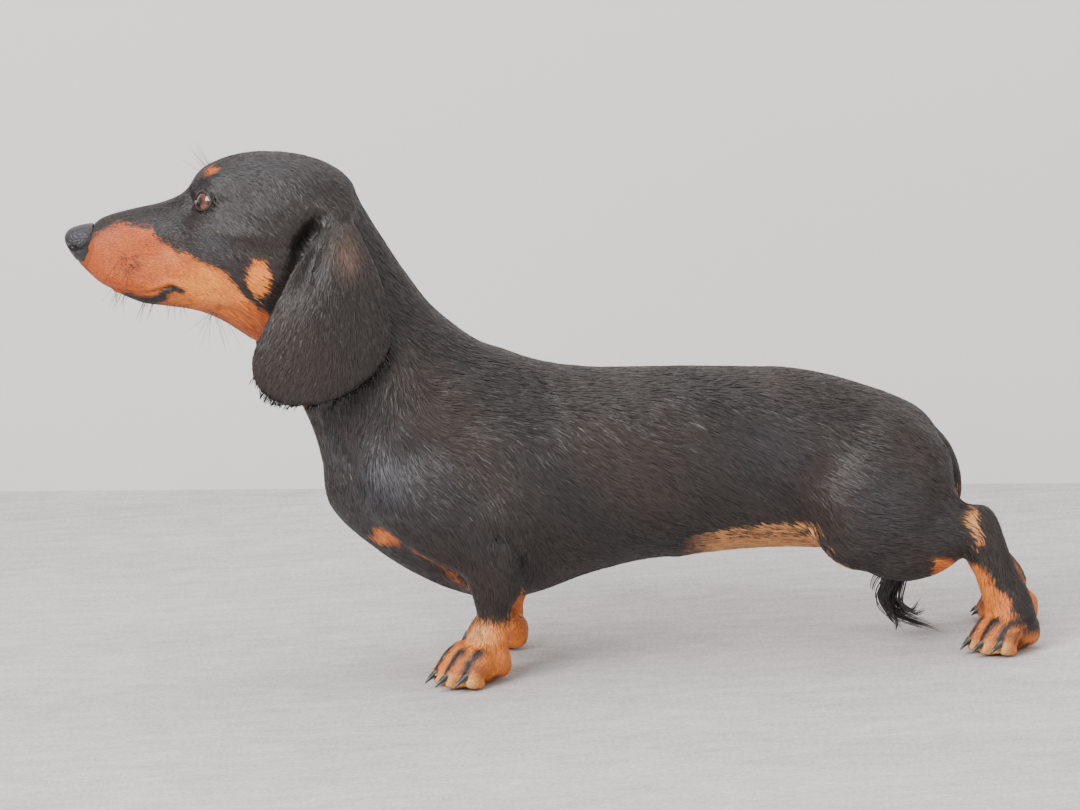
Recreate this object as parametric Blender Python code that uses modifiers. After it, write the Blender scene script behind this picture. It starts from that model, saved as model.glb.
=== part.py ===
"""Smooth-haired miniature dachshund, standing still, life size.

The dog faces -X with its left side towards -Y, and stands on the floor at Z = 0. The
origin is on the floor under its middle.
Sizes are written in millimetres, and MM turns them into metres where a mesh is made.
The flesh is modelled whole, from lofts and balls, and parted with thin cuts.
"""

import math

import bmesh
import bpy
import numpy as np
from mathutils import Matrix, Vector
from mathutils.bvhtree import BVHTree

MM = 0.001
GAP = 0.3  # between two parts that touch
VOXEL = 1.2  # grain of the mesh that fuses the flesh
FLESH_TRIANGLES = 6500
BLEND_PASSES = 170
DETAIL_PULL = 0.008  # how strongly the head and paws keep their triangles

MIDDLE = (6.2, -4.1)  # x and y of the whole dog's middle, which becomes the origin

LEFT, RIGHT = -1, 1  # sign of Y on each side
FORE_SHIFT = 15  # how much further back the right forefoot stands
HIND_SHIFT = 13  # and the right hind foot
HOCK = (224, 78)  # x and z
HOCK_DROP = 15  # how much lower the right hock is, where the leg is bent more

EYE_RADIUS = 9.4
EYE_CENTRE = (-176.6, 16.4, 263.0)
EYE_GAZE = (-0.71, 0.68, 0.16)
LID_THICKNESS = 2.1
EYE_HALF_WIDTH = 7.0
EYE_HALF_HEIGHT = 5.0

MOUTH_GROOVE = 1.1
NOSTRIL_RADIUS = 1.7

CLAW_LENGTH = 13.5
CLAW_RADIUS = 2.3
CLAW_ROOT_Z = 8.4
CLAW_DROP = 5.6

TOE_Z = 15.5  # height of the middle of a toe at its knuckle
TOE_DROP = 9.6  # and how far it comes down to its end

EAR_THICKNESS = 3.4
EAR_TROUGH = 6.5  # depth of the cup behind the front edge

WRIST = (-41.5, 41, 27)  # x, y outwards and z on the left side

WRIST_CUT = 23
HOCK_CUT = 22
ELBOW_CUT = 66
HEAD_CUT = ((-163, 166), (-72, 275))  # x and z of its two ends
NECK_CUT = ((-150, 92), (-30, 202))
THIGH_CUT = ((143, 30), (134, 62), (139, 92), (157, 112), (186, 110), (209, 94), (219, 86), (226, 86))

# Head sections: x, top z, bottom z, half width, z of the widest point.
HEAD_SECTIONS = (
    (-252, 246.0, 232, 6.0, 239),
    (-247, 251.0, 227, 10.0, 238.5),
    (-242, 254.6, 222, 13.4, 237.5),
    (-235, 257.5, 217.2, 15.4, 235),
    (-226, 259.7, 212.3, 16.8, 232),
    (-217, 261.4, 208.9, 17.8, 230),
    (-205, 263.6, 206.5, 20.0, 229),
    (-194, 268.4, 204.5, 23.6, 231),
    (-184, 280.0, 201.2, 28.6, 236),
    (-172, 285.6, 194.5, 32.8, 240),
    (-158, 288.2, 184.5, 35.8, 241),
    (-142, 287.6, 182.0, 36.6, 242),
    (-126, 284.6, 186.0, 35.0, 244),
    (-112, 278.6, 194.0, 31.6, 246),
    (-101, 269.0, 206.0, 25.0, 245),
)

# Torso sections: x, top z, bottom z, half width, z of the widest point.
TORSO_SECTIONS = (
    (-127, 118, 96, 12, 107),
    (-119, 136, 84, 24, 108),
    (-105, 152, 71, 35, 108),
    (-90, 164, 59, 42, 106),
    (-72, 173, 48, 46.5, 102),
    (-53, 178.5, 39.5, 49.0, 100),
    (-33, 177.5, 35.0, 50.5, 98),
    (-10, 168.3, 39.5, 51, 98),
    (15, 162.8, 47.5, 50.5, 100),
    (45, 161.0, 53.5, 48.5, 104),
    (75, 160.0, 55.0, 45.5, 107),
    (105, 158.0, 56.3, 42.0, 110),
    (130, 156.4, 55.5, 40.5, 110),
    (155, 150.4, 54.0, 42.0, 106),
    (180, 141.3, 58.0, 41.0, 100),
    (200, 131.6, 62.0, 33.5, 96),
    (211, 119.5, 64.0, 23.5, 91),
    (217, 103.5, 70.0, 12.0, 85),
)

# Neck sections: nape x and z, throat x and z, half width.
NECK_SECTIONS = (
    (-102.5, 265.5, -163, 205, 28),
    (-93, 248.8, -156, 187, 32),
    (-79, 224, -146, 165, 34),
    (-64, 201.5, -134.5, 143, 37),
    (-46, 185, -127.5, 118, 41),
    (-28, 172, -124, 94, 44),
)

# Balls under the skin: x, y outwards, z, three radii and nose-up tilt.
MUSCLES = (
    (-64, 31, 128, 24, 12.5, 42, 32),  # shoulder blade
    (194, 20, 94, 23, 17, 27, 12),  # seat
    (-116, 27.5, 254, 14, 9.5, 9, 25),  # root of the ear
)

# Limb stations: x, y outwards, z, fore-and-aft radius, sideways radius.
UPPER_ARM = (
    (-98, 30, 118, 14, 12),
    (-86, 36, 106, 22, 15),
    (-66, 40, 93, 26, 16),
    (-48, 42, 80, 24, 15.5),
    (-39, 43, 68, 19, 14),
)
FORELEG = (
    (-46, 41, 88, 22, 14),
    (-38, 43, 76, 19.5, 14.5),
    (-37, 43.5, 64, 18.4, 13.4),
    (-37.5, 42.5, 52, 16.2, 11.8),
    (-39, 41.5, 42, 11.2, 9.8),
    (-39.5, 41, 34.5, 9.2, 9.2),
    (-41.5, 41.5, 26, 10.8, 11.0),
    (-44.5, 42.5, 16, 12.4, 13.0),
)
THIGH = (
    (162, 14, 124, 26, 18),
    (168, 22, 108, 38, 23),
    (173, 27, 90, 43, 24),
    (178, 30, 70, 40, 21),
    (183, 32, 56, 28, 15.5),
)
GASKIN = (
    (166, 32, 64, 17.5, 12),
    (182, 33, 60.5, 21.0, 14),
    (199, 33, 61.5, 19.8, 13.5),
    (216, 33, 67.5, 14.8, 11.0),
    (228, 33, 71, 11.0, 8.4),
)
HIND_PASTERN = (
    (226, 33, 81.5, 6.5, 6.2),
    (227.5, 33, 72, 11.2, 8.6),
    (230.5, 33.5, 57, 12.2, 9.2),
    (235.5, 34.5, 42, 12.2, 9.4),
    (241, 35.5, 28, 13.2, 11.0),
    (243, 37, 17, 13.6, 13.0),
)

# Paws: x, y outwards, how far the toes turn out in degrees, size.
FOREPAW_LEFT = (-50, 45, 28, 1.03)
FOREPAW_RIGHT = (-33, 36, 50, 0.93)
HINDPAW_LEFT = (240, 38.5, 24, 0.98)
HINDPAW_RIGHT = (255, 30, 48, 0.88)

# Toes from the inner one outwards: forward, outward, length, radius.
TOES = (
    (2.5, -12.6, 12.5, 5.6),
    (8.5, -5.2, 14.5, 5.9),
    (8.5, 5.2, 14.5, 5.9),
    (2.5, 12.6, 12.5, 5.6),
)

# Tail stations: x, z, radius.
TAIL = (
    (188, 118, 10.2),
    (202, 114, 9.9),
    (211.5, 103, 9.3),
    (216.5, 88, 8.4),
    (215, 72, 7.2),
    (208, 57, 6.2),
    (198, 45, 5.2),
    (189, 36, 4.0),
)

# Locks of the tail's tip: y at the root, then where each one bends and ends as x, y, z.
TAIL_LOCKS = (
    (0.0, (180, 0.5, 24), (185, 1.0, 12), (204, 3.0, 4)),
    (2.4, (184, 2.5, 24), (190, 4.5, 13), (194, 8.0, 5.5)),
    (-2.2, (176, -2.0, 24), (178, -4.0, 13), (183, -6.0, 5.5)),
    (1.2, (188, 2.5, 27), (194, 3.0, 18), (203, 5.0, 15)),
    (-1.4, (177, -1.0, 32), (173, -2.0, 28), (170, -4.0, 22)),
)

# Ear rows: z, front x, back x, then y of the front edge, the middle and the back edge.
EAR_ROWS = (
    (257, -117, -107, 23, 24, 23),
    (250, -119.5, -103.5, 29.5, 32.5, 28.5),
    (242, -126, -99.5, 37.5, 40.5, 33),
    (228, -136.5, -93.5, 44, 47.5, 37),
    (215, -144, -89.5, 46, 50.5, 39.5),
    (201, -152, -87.5, 47, 51.5, 41),
    (187, -159, -87, 47, 51.5, 42.5),
    (175, -161, -92.5, 47, 50.5, 44),
    (165, -156.5, -104, 46.5, 49.5, 45.5),
    (159, -149, -117, 46.5, 48.5, 46.5),
    (156.5, -141, -128, 46.5, 48, 47),
)

# Nose sections, as the head's.
NOSE_SECTIONS = (
    (-258.2, 247.6, 244.4, 3.4, 246.0),
    (-257.4, 249.3, 242.2, 6.0, 245.6),
    (-255.6, 251.0, 238.4, 8.3, 245.0),
    (-252.8, 252.2, 234.2, 9.8, 244.4),
    (-249.4, 253.0, 232.0, 10.5, 243.8),
    (-245.8, 253.6, 231.4, 10.6, 243.5),
    (-242.6, 253.6, 232.4, 9.8, 243.2),
)

# The nostril's comma: x, y outwards, z, and its width there against NOSTRIL_RADIUS.
NOSTRIL_LINE = (
    (-262, 4.0, 244.6, 1.45),
    (-256.5, 5.0, 244.2, 1.4),
    (-253.6, 8.0, 241.8, 1.2),
    (-250.2, 10.6, 240.4, 0.85),
    (-247.4, 11.4, 241.8, 0.7),
    (-245.4, 11.6, 244.4, 0.45),
)

# The line of the mouth on one side, from the front to the corner: x, y outwards, z.
MOUTH_LINE = (
    (-238, 0, 218.5),
    (-236.5, 4.8, 218),
    (-233, 9.2, 217),
    (-228, 12.8, 216.5),
    (-219, 16.2, 216),
    (-211, 17.8, 215.5),
    (-203, 19.6, 218.5),
    (-197, 20.8, 215.5),
    (-193, 21.5, 211),
)

# Soft forms of the skin: x, y outwards, z, reach along x, y and z, nose-up tilt, height.
SWELLS = (
    (-193, 19, 259, 8, 9, 6, 0, -2.2),  # hollow before the eye
    (-177, 21, 276, 11, 8, 4.5, -8, 1.8),  # brow
    (-169, 27, 262, 5, 8, 6, 0, -1.4),  # behind the eye
    (-190, 0, 269, 8, 7, 6, 0, -0.8),  # stop
    (-160, 0, 288, 22, 4, 8, 0, -0.7),  # furrow of the forehead
    (-160, 35, 246, 19, 9, 4.5, 6, 1.5),  # cheekbone
    (-155, 31, 267, 14, 8, 7, 0, -1.3),  # temple
    (-146, 35, 224, 13, 9, 13, 0, 2.0),  # cheek muscle
    (-127, 34, 243, 5.5, 12, 14, 37, -7.0),  # hollow of the ear, before its flap
    (-139, 36, 233, 2.6, 8, 9, 20, 1.4),  # rim of that hollow
    (-205, 20, 240, 11, 9, 7, 0, -1.6),  # side of the muzzle
    (-229, 16, 224, 13, 7, 5, 10, 1.8),  # upper lip
    (-213, 18, 220, 14, 7, 3.5, 0, 1.4),  # upper lip towards the corner
    (-222, 9, 209, 12, 6, 3, 0, 0.9),  # lower lip
    (-191, 22, 221, 9, 7, 8, 0, -1.0),  # hollow behind the corner of the mouth
    (-246, 0, 255, 5, 8, 3, 0, -0.8),  # behind the nose
    (-246, 0, 224, 6, 1.8, 6, 0, -1.3),  # furrow under the nose
    (-186, 23, 253.5, 6, 6, 3, 0, 0.8),  # below the lower lid
    (-128, 15, 141, 7, 7, 26, 22, -1.8),  # furrow down the front of the neck
    (-121, 21, 104, 7, 7, 13, 0, -2.0),  # between the breastbone and the shoulder
    (-102, 32, 118, 11, 9, 11, 0, 2.4),  # point of the shoulder
    (-52, 44, 146, 9, 8, 26, -24, -0.7),  # behind the shoulder blade
    (-28, 52, 92, 15, 9, 15, 20, 2.2),  # back of the upper arm
    (-11, 48, 66, 11, 11, 12, 0, -4.0),  # pit behind the elbow
    (-22, 49, 73, 6, 7, 5, 0, 1.8),  # elbow
    (8, 50, 110, 26, 12, 40, -12, 1.0),  # spring of the ribs
    (112, 39, 108, 26, 14, 26, 0, -1.6),  # loin
    (136, 38, 70, 12, 12, 14, -30, -2.2),  # flank
    (66, 0, 53, 9, 6, 6, 0, 2.0),  # under the belly
    (168, 49, 88, 22, 9, 22, 0, 1.6),  # thigh
    (206, 40, 92, 7, 10, 20, 14, -1.8),  # groove between the thigh muscles
    (214, 23, 110, 8, 8, 8, 0, 1.5),  # seat bone
    (221, 41, 70, 7, 8, 5, 0, -1.6),  # before the hock's tendon
    (214, 0, 82, 12, 7, 24, 0, -3.0),  # cleft under the tail
    (-39, 52, 46, 8, 6, 12, 0, 0.8),  # forearm
)

COLOURS = {
    "coat_black": ((0.022, 0.020, 0.020), 0.5),
    "coat_tan": ((0.60, 0.25, 0.07), 0.6),
    "nose_leather": ((0.035, 0.035, 0.04), 0.4),
    "eye": ((0.075, 0.03, 0.014), 0.08),
    "claw": ((0.05, 0.045, 0.042), 0.3),
}
MATERIALS = {}


def clear_scene():
    for obj in list(bpy.data.objects):
        bpy.data.objects.remove(obj)


def material_of(name):
    """A plain finish, made once: its colour and roughness."""
    if name not in MATERIALS:
        colour, roughness = COLOURS[name]
        material = bpy.data.materials.new(name)
        material.use_nodes = True
        shader = material.node_tree.nodes["Principled BSDF"]
        shader.inputs["Base Color"].default_value = (*colour, 1)
        shader.inputs["Roughness"].default_value = roughness
        material.diffuse_color = (*colour, 1)
        MATERIALS[name] = material
    return MATERIALS[name]


def add_object(name, pieces):
    """One mesh object from closed bmeshes in millimetres, still loose where they cross."""
    joined = bmesh.new()
    for piece in pieces:
        bmesh.ops.recalc_face_normals(piece, faces=piece.faces)
        loose = bpy.data.meshes.new("piece")
        piece.to_mesh(loose)
        piece.free()
        joined.from_mesh(loose)
        bpy.data.meshes.remove(loose)
    bmesh.ops.scale(joined, vec=(MM, MM, MM), verts=joined.verts)
    mesh = bpy.data.meshes.new(name)
    joined.to_mesh(mesh)
    joined.free()
    obj = bpy.data.objects.new(name, mesh)
    bpy.context.scene.collection.objects.link(obj)
    return obj


def drop(obj):
    mesh = obj.data
    bpy.data.objects.remove(obj)
    bpy.data.meshes.remove(mesh)


def apply_modifiers(obj):
    """Keeps what the modifiers make of the mesh, and drops them."""
    graph = bpy.context.evaluated_depsgraph_get()
    mesh = bpy.data.meshes.new_from_object(obj.evaluated_get(graph), depsgraph=graph)
    obj.modifiers.clear()
    old, obj.data = obj.data, mesh
    bpy.data.meshes.remove(old)


def combine(obj, operation, others, solver="EXACT"):
    """A Boolean with each of the others in turn, which are dropped."""
    for other in others:
        modifier = obj.modifiers.new(operation.lower(), "BOOLEAN")
        modifier.operation = operation
        modifier.solver = solver
        modifier.object = other
        apply_modifiers(obj)
        drop(other)
    return obj


def keep_largest(obj):
    """Drops crumbs that a cut may leave beside the part."""
    bm = bmesh.new()
    bm.from_mesh(obj.data)
    islands = islands_of(bm)
    largest = max(islands, key=lambda faces: sum(f.calc_area() for f in faces))
    kept = set(largest)
    bmesh.ops.delete(bm, geom=[f for f in bm.faces if f not in kept], context="FACES")
    bm.to_mesh(obj.data)
    bm.free()


def islands_of(bm):
    """The faces of each closed surface."""
    left, islands = set(bm.faces), []
    while left:
        seed = left.pop()
        island, edge = [seed], [seed]
        while edge:
            face = edge.pop()
            for side in face.edges:
                for near in side.link_faces:
                    if near in left:
                        left.discard(near)
                        island.append(near)
                        edge.append(near)
        islands.append(island)
    return islands


def spline(rows, steps):
    """Rows of numbers joined by a smooth Catmull-Rom curve, with steps points a span."""
    rows = np.array(rows, float)
    ends = np.vstack([2 * rows[0] - rows[1], rows, 2 * rows[-1] - rows[-2]])
    out = []
    for a, b, c, d in zip(ends, ends[1:], ends[2:], ends[3:]):
        for t in np.arange(steps) / steps:
            slope = (c - a) * t
            bend = (2 * a - 5 * b + 4 * c - d) * t**2
            twist = (3 * b - 3 * c + d - a) * t**3
            out.append(0.5 * (2 * b + slope + bend + twist))
    return np.array(out + [rows[-1]])


def bridge_rings(rings):
    """A closed loft through rings that each have as many points."""
    bm = bmesh.new()
    loops = []
    for ring in rings:
        verts = [bm.verts.new(p) for p in ring]
        loops.append([bm.edges.new((a, b)) for a, b in zip(verts, verts[1:] + verts[:1])])
    for first, second in zip(loops, loops[1:]):
        bmesh.ops.bridge_loops(bm, edges=first + second)
    bmesh.ops.holes_fill(bm, edges=[e for e in bm.edges if e.is_boundary])
    return bm


def turns(count):
    return [2 * math.pi * k / count for k in range(count)]


def section_loft(sections, steps=5, square=2.0, points=48, grow=0.0):
    """A loft through upright sections, egg-shaped about the height of their widest point."""
    rings = []
    rows = spline(sections, steps)
    rows[0][0] -= grow
    rows[-1][0] += grow
    for x, top, bottom, half, wide in rows:
        ring = []
        for angle in turns(points):
            c, s = math.cos(angle), math.sin(angle)
            reach = top + grow - wide if s > 0 else wide - bottom + grow
            y = (half + grow) * math.copysign(abs(c) ** (2 / square), c)
            ring.append((x, y, wide + reach * math.copysign(abs(s) ** (2 / square), s)))
        rings.append(ring)
    return bridge_rings(rings)


def neck_loft(points=48):
    """Slanted oval sections between the nape and the throat."""
    rings = []
    for nape_x, nape_z, throat_x, throat_z, half in spline(NECK_SECTIONS, 5):
        nape = Vector((nape_x, 0, nape_z))
        throat = Vector((throat_x, 0, throat_z))
        centre, reach = (nape + throat) / 2, (nape - throat) / 2
        across = Vector((0, half, 0))
        rings.append([centre + reach * math.sin(a) + across * math.cos(a) for a in turns(points)])
    return bridge_rings(rings)


def limb_loft(stations, side=RIGHT, steps=4, shift=0.0, drop=0.0, points=28):
    """Oval sections square to a bent path. The shift moves the foot, and the drop the hock."""
    path = spline(stations, steps)
    centres = []
    for x, y, z, _, _ in path:
        lower = drop * max(0, 1 - abs(z - HOCK[1]) / 62) * min(1, max(0, 1 + (x - HOCK[0]) / 42))
        centres.append(Vector((x + shift * max(0, 1 - z / 130), side * y, z - lower)))
    rings = []
    for i, (_, _, _, deep, wide) in enumerate(path):
        ahead = centres[min(i + 1, len(centres) - 1)] - centres[max(i - 1, 0)]
        fore = ahead.cross(Vector((0, 1, 0))).normalized() * deep
        across = fore.cross(ahead).normalized() * wide
        rings.append([centres[i] + fore * math.cos(a) + across * math.sin(a) for a in turns(points)])
    return bridge_rings(rings)


def tube(path, radii, points=8):
    """A round rod along a path of points, with its radius at each of them."""
    path = [Vector(p) for p in path]
    rings = []
    for i, (centre, radius) in enumerate(zip(path, radii)):
        ahead = (path[min(i + 1, len(path) - 1)] - path[max(i - 1, 0)]).normalized()
        aside = ahead.cross(Vector((0, 0.97, 0.24)) if abs(ahead.y) < 0.8 else Vector((0, 0, 1)))
        aside = aside.normalized()
        upward = aside.cross(ahead)
        ring = [centre + (aside * math.cos(a) + upward * math.sin(a)) * radius for a in turns(points)]
        rings.append(ring)
    return bridge_rings(rings)


def ball(centre, radii, turn=None, segments=20):
    """An ellipsoid, turned by a rotation matrix before it is set in place."""
    bm = bmesh.new()
    bmesh.ops.create_uvsphere(bm, u_segments=segments, v_segments=segments // 2, radius=1)
    place = Matrix.Translation(centre) @ (turn or Matrix()).to_4x4()
    bmesh.ops.transform(bm, matrix=place @ Matrix.Diagonal((*radii, 1)), verts=bm.verts)
    return bm


def prism(profile, near, far, along="Y"):
    """A straight bar: a profile of x and z run along Y, or of y and z run along X."""
    rings = []
    for level in (near, far):
        if along == "Y":
            rings.append([(a, level, b) for a, b in profile])
        else:
            rings.append([(level, a, b) for a, b in profile])
    return bridge_rings(rings)


def pitch(degrees):
    """A turn about Y that lifts the -X end by this many degrees."""
    return Matrix.Rotation(math.radians(degrees), 3, "Y")


class Paw:
    """One foot: where it stands, how it turns out, and its toes."""

    def __init__(self, row, side):
        x, y, turn_out, self.size = row
        self.side = side
        self.base = Vector((x, side * y, 0))
        self.turn = Matrix.Rotation(math.radians(-turn_out * side), 3, "Z")

    def place(self, forward, outward, z):
        local = Vector((-forward, self.side * outward, z)) * self.size
        return self.base + self.turn @ local

    def pieces(self):
        """Four arched toes round a low palm, with a pad under each."""
        size = self.size
        found = [ball(self.place(-5, 0, 11.5), (15 * size, 14 * size, 11.5 * size), self.turn)]
        pad = (10 * size, 9.5 * size, 4.6 * size)
        found.append(ball(self.place(-3, 0, 3.6), pad, self.turn))
        found.append(ball(self.place(-12, 0, 7), (9 * size, 9 * size, 7 * size), self.turn))
        for toe in TOES:
            forward, outward, length, radius = toe
            for t in np.linspace(0, 1, 6):
                reach = forward + length * (0.7 * t - 0.05)
                height = TOE_Z - TOE_DROP * t**1.4
                r = radius * (1.06 - 0.14 * t) * size
                spot = self.place(reach, outward * (0.84 + 0.2 * t), height)
                found.append(ball(spot, (r, r, r * 1.06), None, 14))
            spot = self.place(forward + length * 0.40, outward, 2.9)
            found.append(ball(spot, (6.2 * size, 4.4 * size, 3.8 * size), self.turn, 14))
        return found

    def claw(self, toe, grow=0.0):
        """A bent cone from inside the end of a toe towards the floor."""
        forward, outward, length, _ = toe
        start = forward + length * 0.52
        spread = outward * 1.06
        path = []
        radii = []
        for t in np.linspace(0, 1, 5):
            height = CLAW_ROOT_Z - CLAW_DROP * t**1.8
            path.append(self.place(start + CLAW_LENGTH * t * (1 - 0.12 * t), spread, height))
            radii.append((CLAW_RADIUS * (1 - t**1.7) + 0.28) * self.size + grow)
        if grow:
            path[0] += self.turn @ Vector((grow, 0, 0))
            path[-1] += self.turn @ Vector((-grow, 0, 0))
        return tube(path, radii, 6)


def dewclaw(paw, x, y, z, grow=0.0):
    """The small claw on the inner side of the wrist."""
    path = []
    radii = []
    for t in np.linspace(0, 1, 5):
        spot = Vector((x - 3 - 5.5 * t, paw.side * (y - 10.5 + 0.5 * t), z + 1 - 5.0 * t**1.4))
        path.append(spot)
        radii.append(1.5 * (1 - t**1.6) + 0.28 + grow)
    if grow:
        path[0] += Vector((grow, 0, 0))
        path[-1] += Vector((-grow, 0, -grow))
    return tube(path, radii, 6)


def paws():
    """The four feet by name."""
    return {
        "fore_left": Paw(FOREPAW_LEFT, LEFT),
        "fore_right": Paw(FOREPAW_RIGHT, RIGHT),
        "hind_left": Paw(HINDPAW_LEFT, LEFT),
        "hind_right": Paw(HINDPAW_RIGHT, RIGHT),
    }


def wrist(side):
    """Where a foreleg's wrist is: x, y outwards and z."""
    x, y, z = WRIST
    return (x + (FORE_SHIFT * 0.8 if side == RIGHT else 0), y, z)


def flesh_pieces():
    """Every form of the body, as closed bmeshes that cross each other."""
    pieces = [section_loft(HEAD_SECTIONS, square=2.25), section_loft(TORSO_SECTIONS), neck_loft()]
    for side in (LEFT, RIGHT):
        for x, y, z, *radii, tilt in MUSCLES:
            pieces.append(ball((x, side * y, z), radii, pitch(tilt)))
        fore, hind, drop = (FORE_SHIFT, HIND_SHIFT, HOCK_DROP) if side == RIGHT else (0, 0, 0)
        pieces += [limb_loft(limb, side, shift=fore) for limb in (UPPER_ARM, FORELEG)]
        pieces.append(limb_loft(THIGH, side, shift=hind))
        pieces += [limb_loft(limb, side, shift=hind, drop=drop) for limb in (GASKIN, HIND_PASTERN)]
        x, y, z = wrist(side)
        pieces.append(ball((x + 10.5, side * (y + 1), z + 3), (4.2, 4, 4.6), None, 16))
        pieces.append(ball((x - 3, side * (y - 10), z), (5.2, 3.6, 5.4), None, 16))
        x, y, z = EYE_CENTRE
        lid = EYE_RADIUS + LID_THICKNESS
        pieces.append(ball((x, side * y, z), (lid, lid, lid)))
    for paw in paws().values():
        pieces += paw.pieces()
    return pieces


def points_of(obj):
    """An object's points in millimetres."""
    co = np.empty(len(obj.data.vertices) * 3, np.float32)
    obj.data.vertices.foreach_get("co", co)
    return co.reshape(-1, 3).astype(float) / MM


def normals_of(obj):
    out = np.empty(len(obj.data.vertices) * 3, np.float32)
    obj.data.vertices.foreach_get("normal", out)
    return out.reshape(-1, 3).astype(float)


def set_points(obj, co):
    obj.data.vertices.foreach_set("co", (co * MM).astype(np.float32).ravel())
    obj.data.update()


def near(co, x, y, z, reach_x, reach_y, reach_z, tilt=0.0):
    """How close each point lies to a spot and its mirror image, from 1 there down to 0."""
    along, aside, above = co[:, 0] - x, np.abs(co[:, 1]) - y, co[:, 2] - z
    c, s = math.cos(math.radians(tilt)), math.sin(math.radians(tilt))
    along, above = along * c - above * s, along * s + above * c
    return np.exp(-((along / reach_x) ** 2) - (aside / reach_y) ** 2 - (above / reach_z) ** 2)


def softness(co):
    """How freely each point moves while the forms flow together."""
    x, z = co[:, 0], co[:, 2]
    leg = np.clip((z - 22) / 60, 0.05, 1)
    head = 1 - 0.72 * np.clip((-x - 128 + (z - 225) * 0.3) / 30, 0, 1)
    muzzle = np.clip((x + 262) / 60, 0.16, 1)
    lids = 1 - near(co, *EYE_CENTRE, 14, 16, 14)
    return np.minimum(leg, head * muzzle) * np.clip(lids, 0.03, 1)


def set_group(obj, name, weights):
    """A vertex group, set in steps of one fiftieth."""
    group = obj.vertex_groups.new(name=name)
    levels = np.round(np.clip(weights, 0, 1) * 50).astype(int)
    for level in np.unique(levels):
        group.add(np.nonzero(levels == level)[0].tolist(), level / 50, "REPLACE")


def fuse_flesh():
    """The whole body as one mesh, with its forms blended and its skin shaped."""
    flesh = add_object("flesh", flesh_pieces())
    remesh = flesh.modifiers.new("fuse", "REMESH")
    remesh.mode = "VOXEL"
    remesh.voxel_size = VOXEL * MM
    apply_modifiers(flesh)
    set_group(flesh, "soft", softness(points_of(flesh)))
    smooth = flesh.modifiers.new("blend", "SMOOTH")
    smooth.factor = 0.5
    smooth.iterations = BLEND_PASSES
    smooth.vertex_group = "soft"
    apply_modifiers(flesh)
    co, normals = points_of(flesh), normals_of(flesh)
    for *spot, height in SWELLS:
        co += normals * (near(co, *spot) * height)[:, None]
    set_points(flesh, co)
    flesh.vertex_groups.clear()
    head = np.clip((-co[:, 0] - 150) / 60, 0, 1)
    feet = np.clip((34 - co[:, 2]) / 16, 0, 1)
    eyes = near(co, *EYE_CENTRE, 13, 15, 12)
    set_group(flesh, "detail", np.maximum(np.maximum(head * 0.3, feet * 0.02), eyes * 0.6))
    thin = flesh.modifiers.new("thin", "DECIMATE")
    thin.vertex_group = "detail"
    thin.vertex_group_factor = DETAIL_PULL
    thin.invert_vertex_group = True
    thin.ratio = FLESH_TRIANGLES / (2 * len(flesh.data.polygons))
    apply_modifiers(flesh)
    flesh.vertex_groups.clear()
    return flesh


def shell(name, bm):
    """The skin of a closed region, as thick as the gap between two parts."""
    obj = add_object(name, [bm])
    solidify = obj.modifiers.new("gap", "SOLIDIFY")
    solidify.thickness = GAP * MM
    solidify.offset = 0
    solidify.use_even_offset = True
    apply_modifiers(obj)
    return obj


def slab(name, low, high, y_near, y_far):
    """A thin straight cut between two points of x and z."""
    ahead = Vector((high[0] - low[0], 0, high[1] - low[1])).normalized()
    off = Vector((-ahead.z, 0, ahead.x)) * GAP / 2
    a, b = Vector((low[0], 0, low[1])), Vector((high[0], 0, high[1]))
    profile = [(p.x, p.z) for p in (a - off, a + off, b + off, b - off)]
    return add_object(name, [prism(profile, y_near, y_far)])


def cut_flesh(flesh):
    """Parts the body with thin cuts, and names each piece by where it lies."""
    cuts = [
        slab("cut_head", *HEAD_CUT, -60, 60),
        slab("cut_neck", *NECK_CUT, -80, 80),
    ]
    for side in (LEFT, RIGHT):
        top, low = ELBOW_CUT, 24
        profile = [(side * 40, top), (side * 90, top), (side * 90, -10), (side * 18, -10), (side * 18, low)]
        cuts.append(shell("cut_foreleg", prism(profile, -86, 4, "X")))
        profile = [*THIGH_CUT, (290, 86), (290, -12), (143, -12)]
        cuts.append(shell("cut_hindleg", prism(profile, side * 15, side * 90)))
        inner, outer = sorted((side * 12, side * 80))
        cuts.append(slab("cut_wrist", (-84, WRIST_CUT - 2), (2, WRIST_CUT + 1), inner, outer))
        cuts.append(slab("cut_hock", (200, HOCK_CUT), (285, HOCK_CUT + 1), inner, outer))
    combine(flesh, "DIFFERENCE", cuts, "MANIFOLD")
    bm = bmesh.new()
    bm.from_mesh(flesh.data)
    islands = islands_of(bm)
    islands.sort(key=lambda faces: -sum(f.calc_area() for f in faces))
    named = {}
    for island in islands:
        corners = [v.co / MM for f in island for v in f.verts]
        centre = sum(corners, Vector()) / len(corners)
        name = name_of(centre, max(p.z for p in corners))
        if name not in named:
            named[name] = part_from(name, flesh.data, {f.index for f in island})
    bm.free()
    drop(flesh)
    return named


def name_of(centre, top):
    """The name of the part of flesh with its middle and its highest point here."""
    side = "left" if centre.y < 0 else "right"
    if centre.x < -138 and centre.z > 200:
        return "head"
    if centre.z > 140 and centre.x < -60:
        return "neck"
    if abs(centre.y) < 12:
        return "torso"
    end = "fore" if centre.x < 80 else "hind"
    if top < 34:
        return f"{end}paw_{side}"
    return f"{end}leg_{side}"


def part_from(name, mesh, kept):
    """A new object from some faces of a mesh, by their numbers."""
    bm = bmesh.new()
    bm.from_mesh(mesh)
    bmesh.ops.delete(bm, geom=[f for f in bm.faces if f.index not in kept], context="FACES")
    part = bpy.data.meshes.new(name)
    bm.to_mesh(part)
    bm.free()
    obj = bpy.data.objects.new(name, part)
    bpy.context.scene.collection.objects.link(obj)
    return obj


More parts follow.
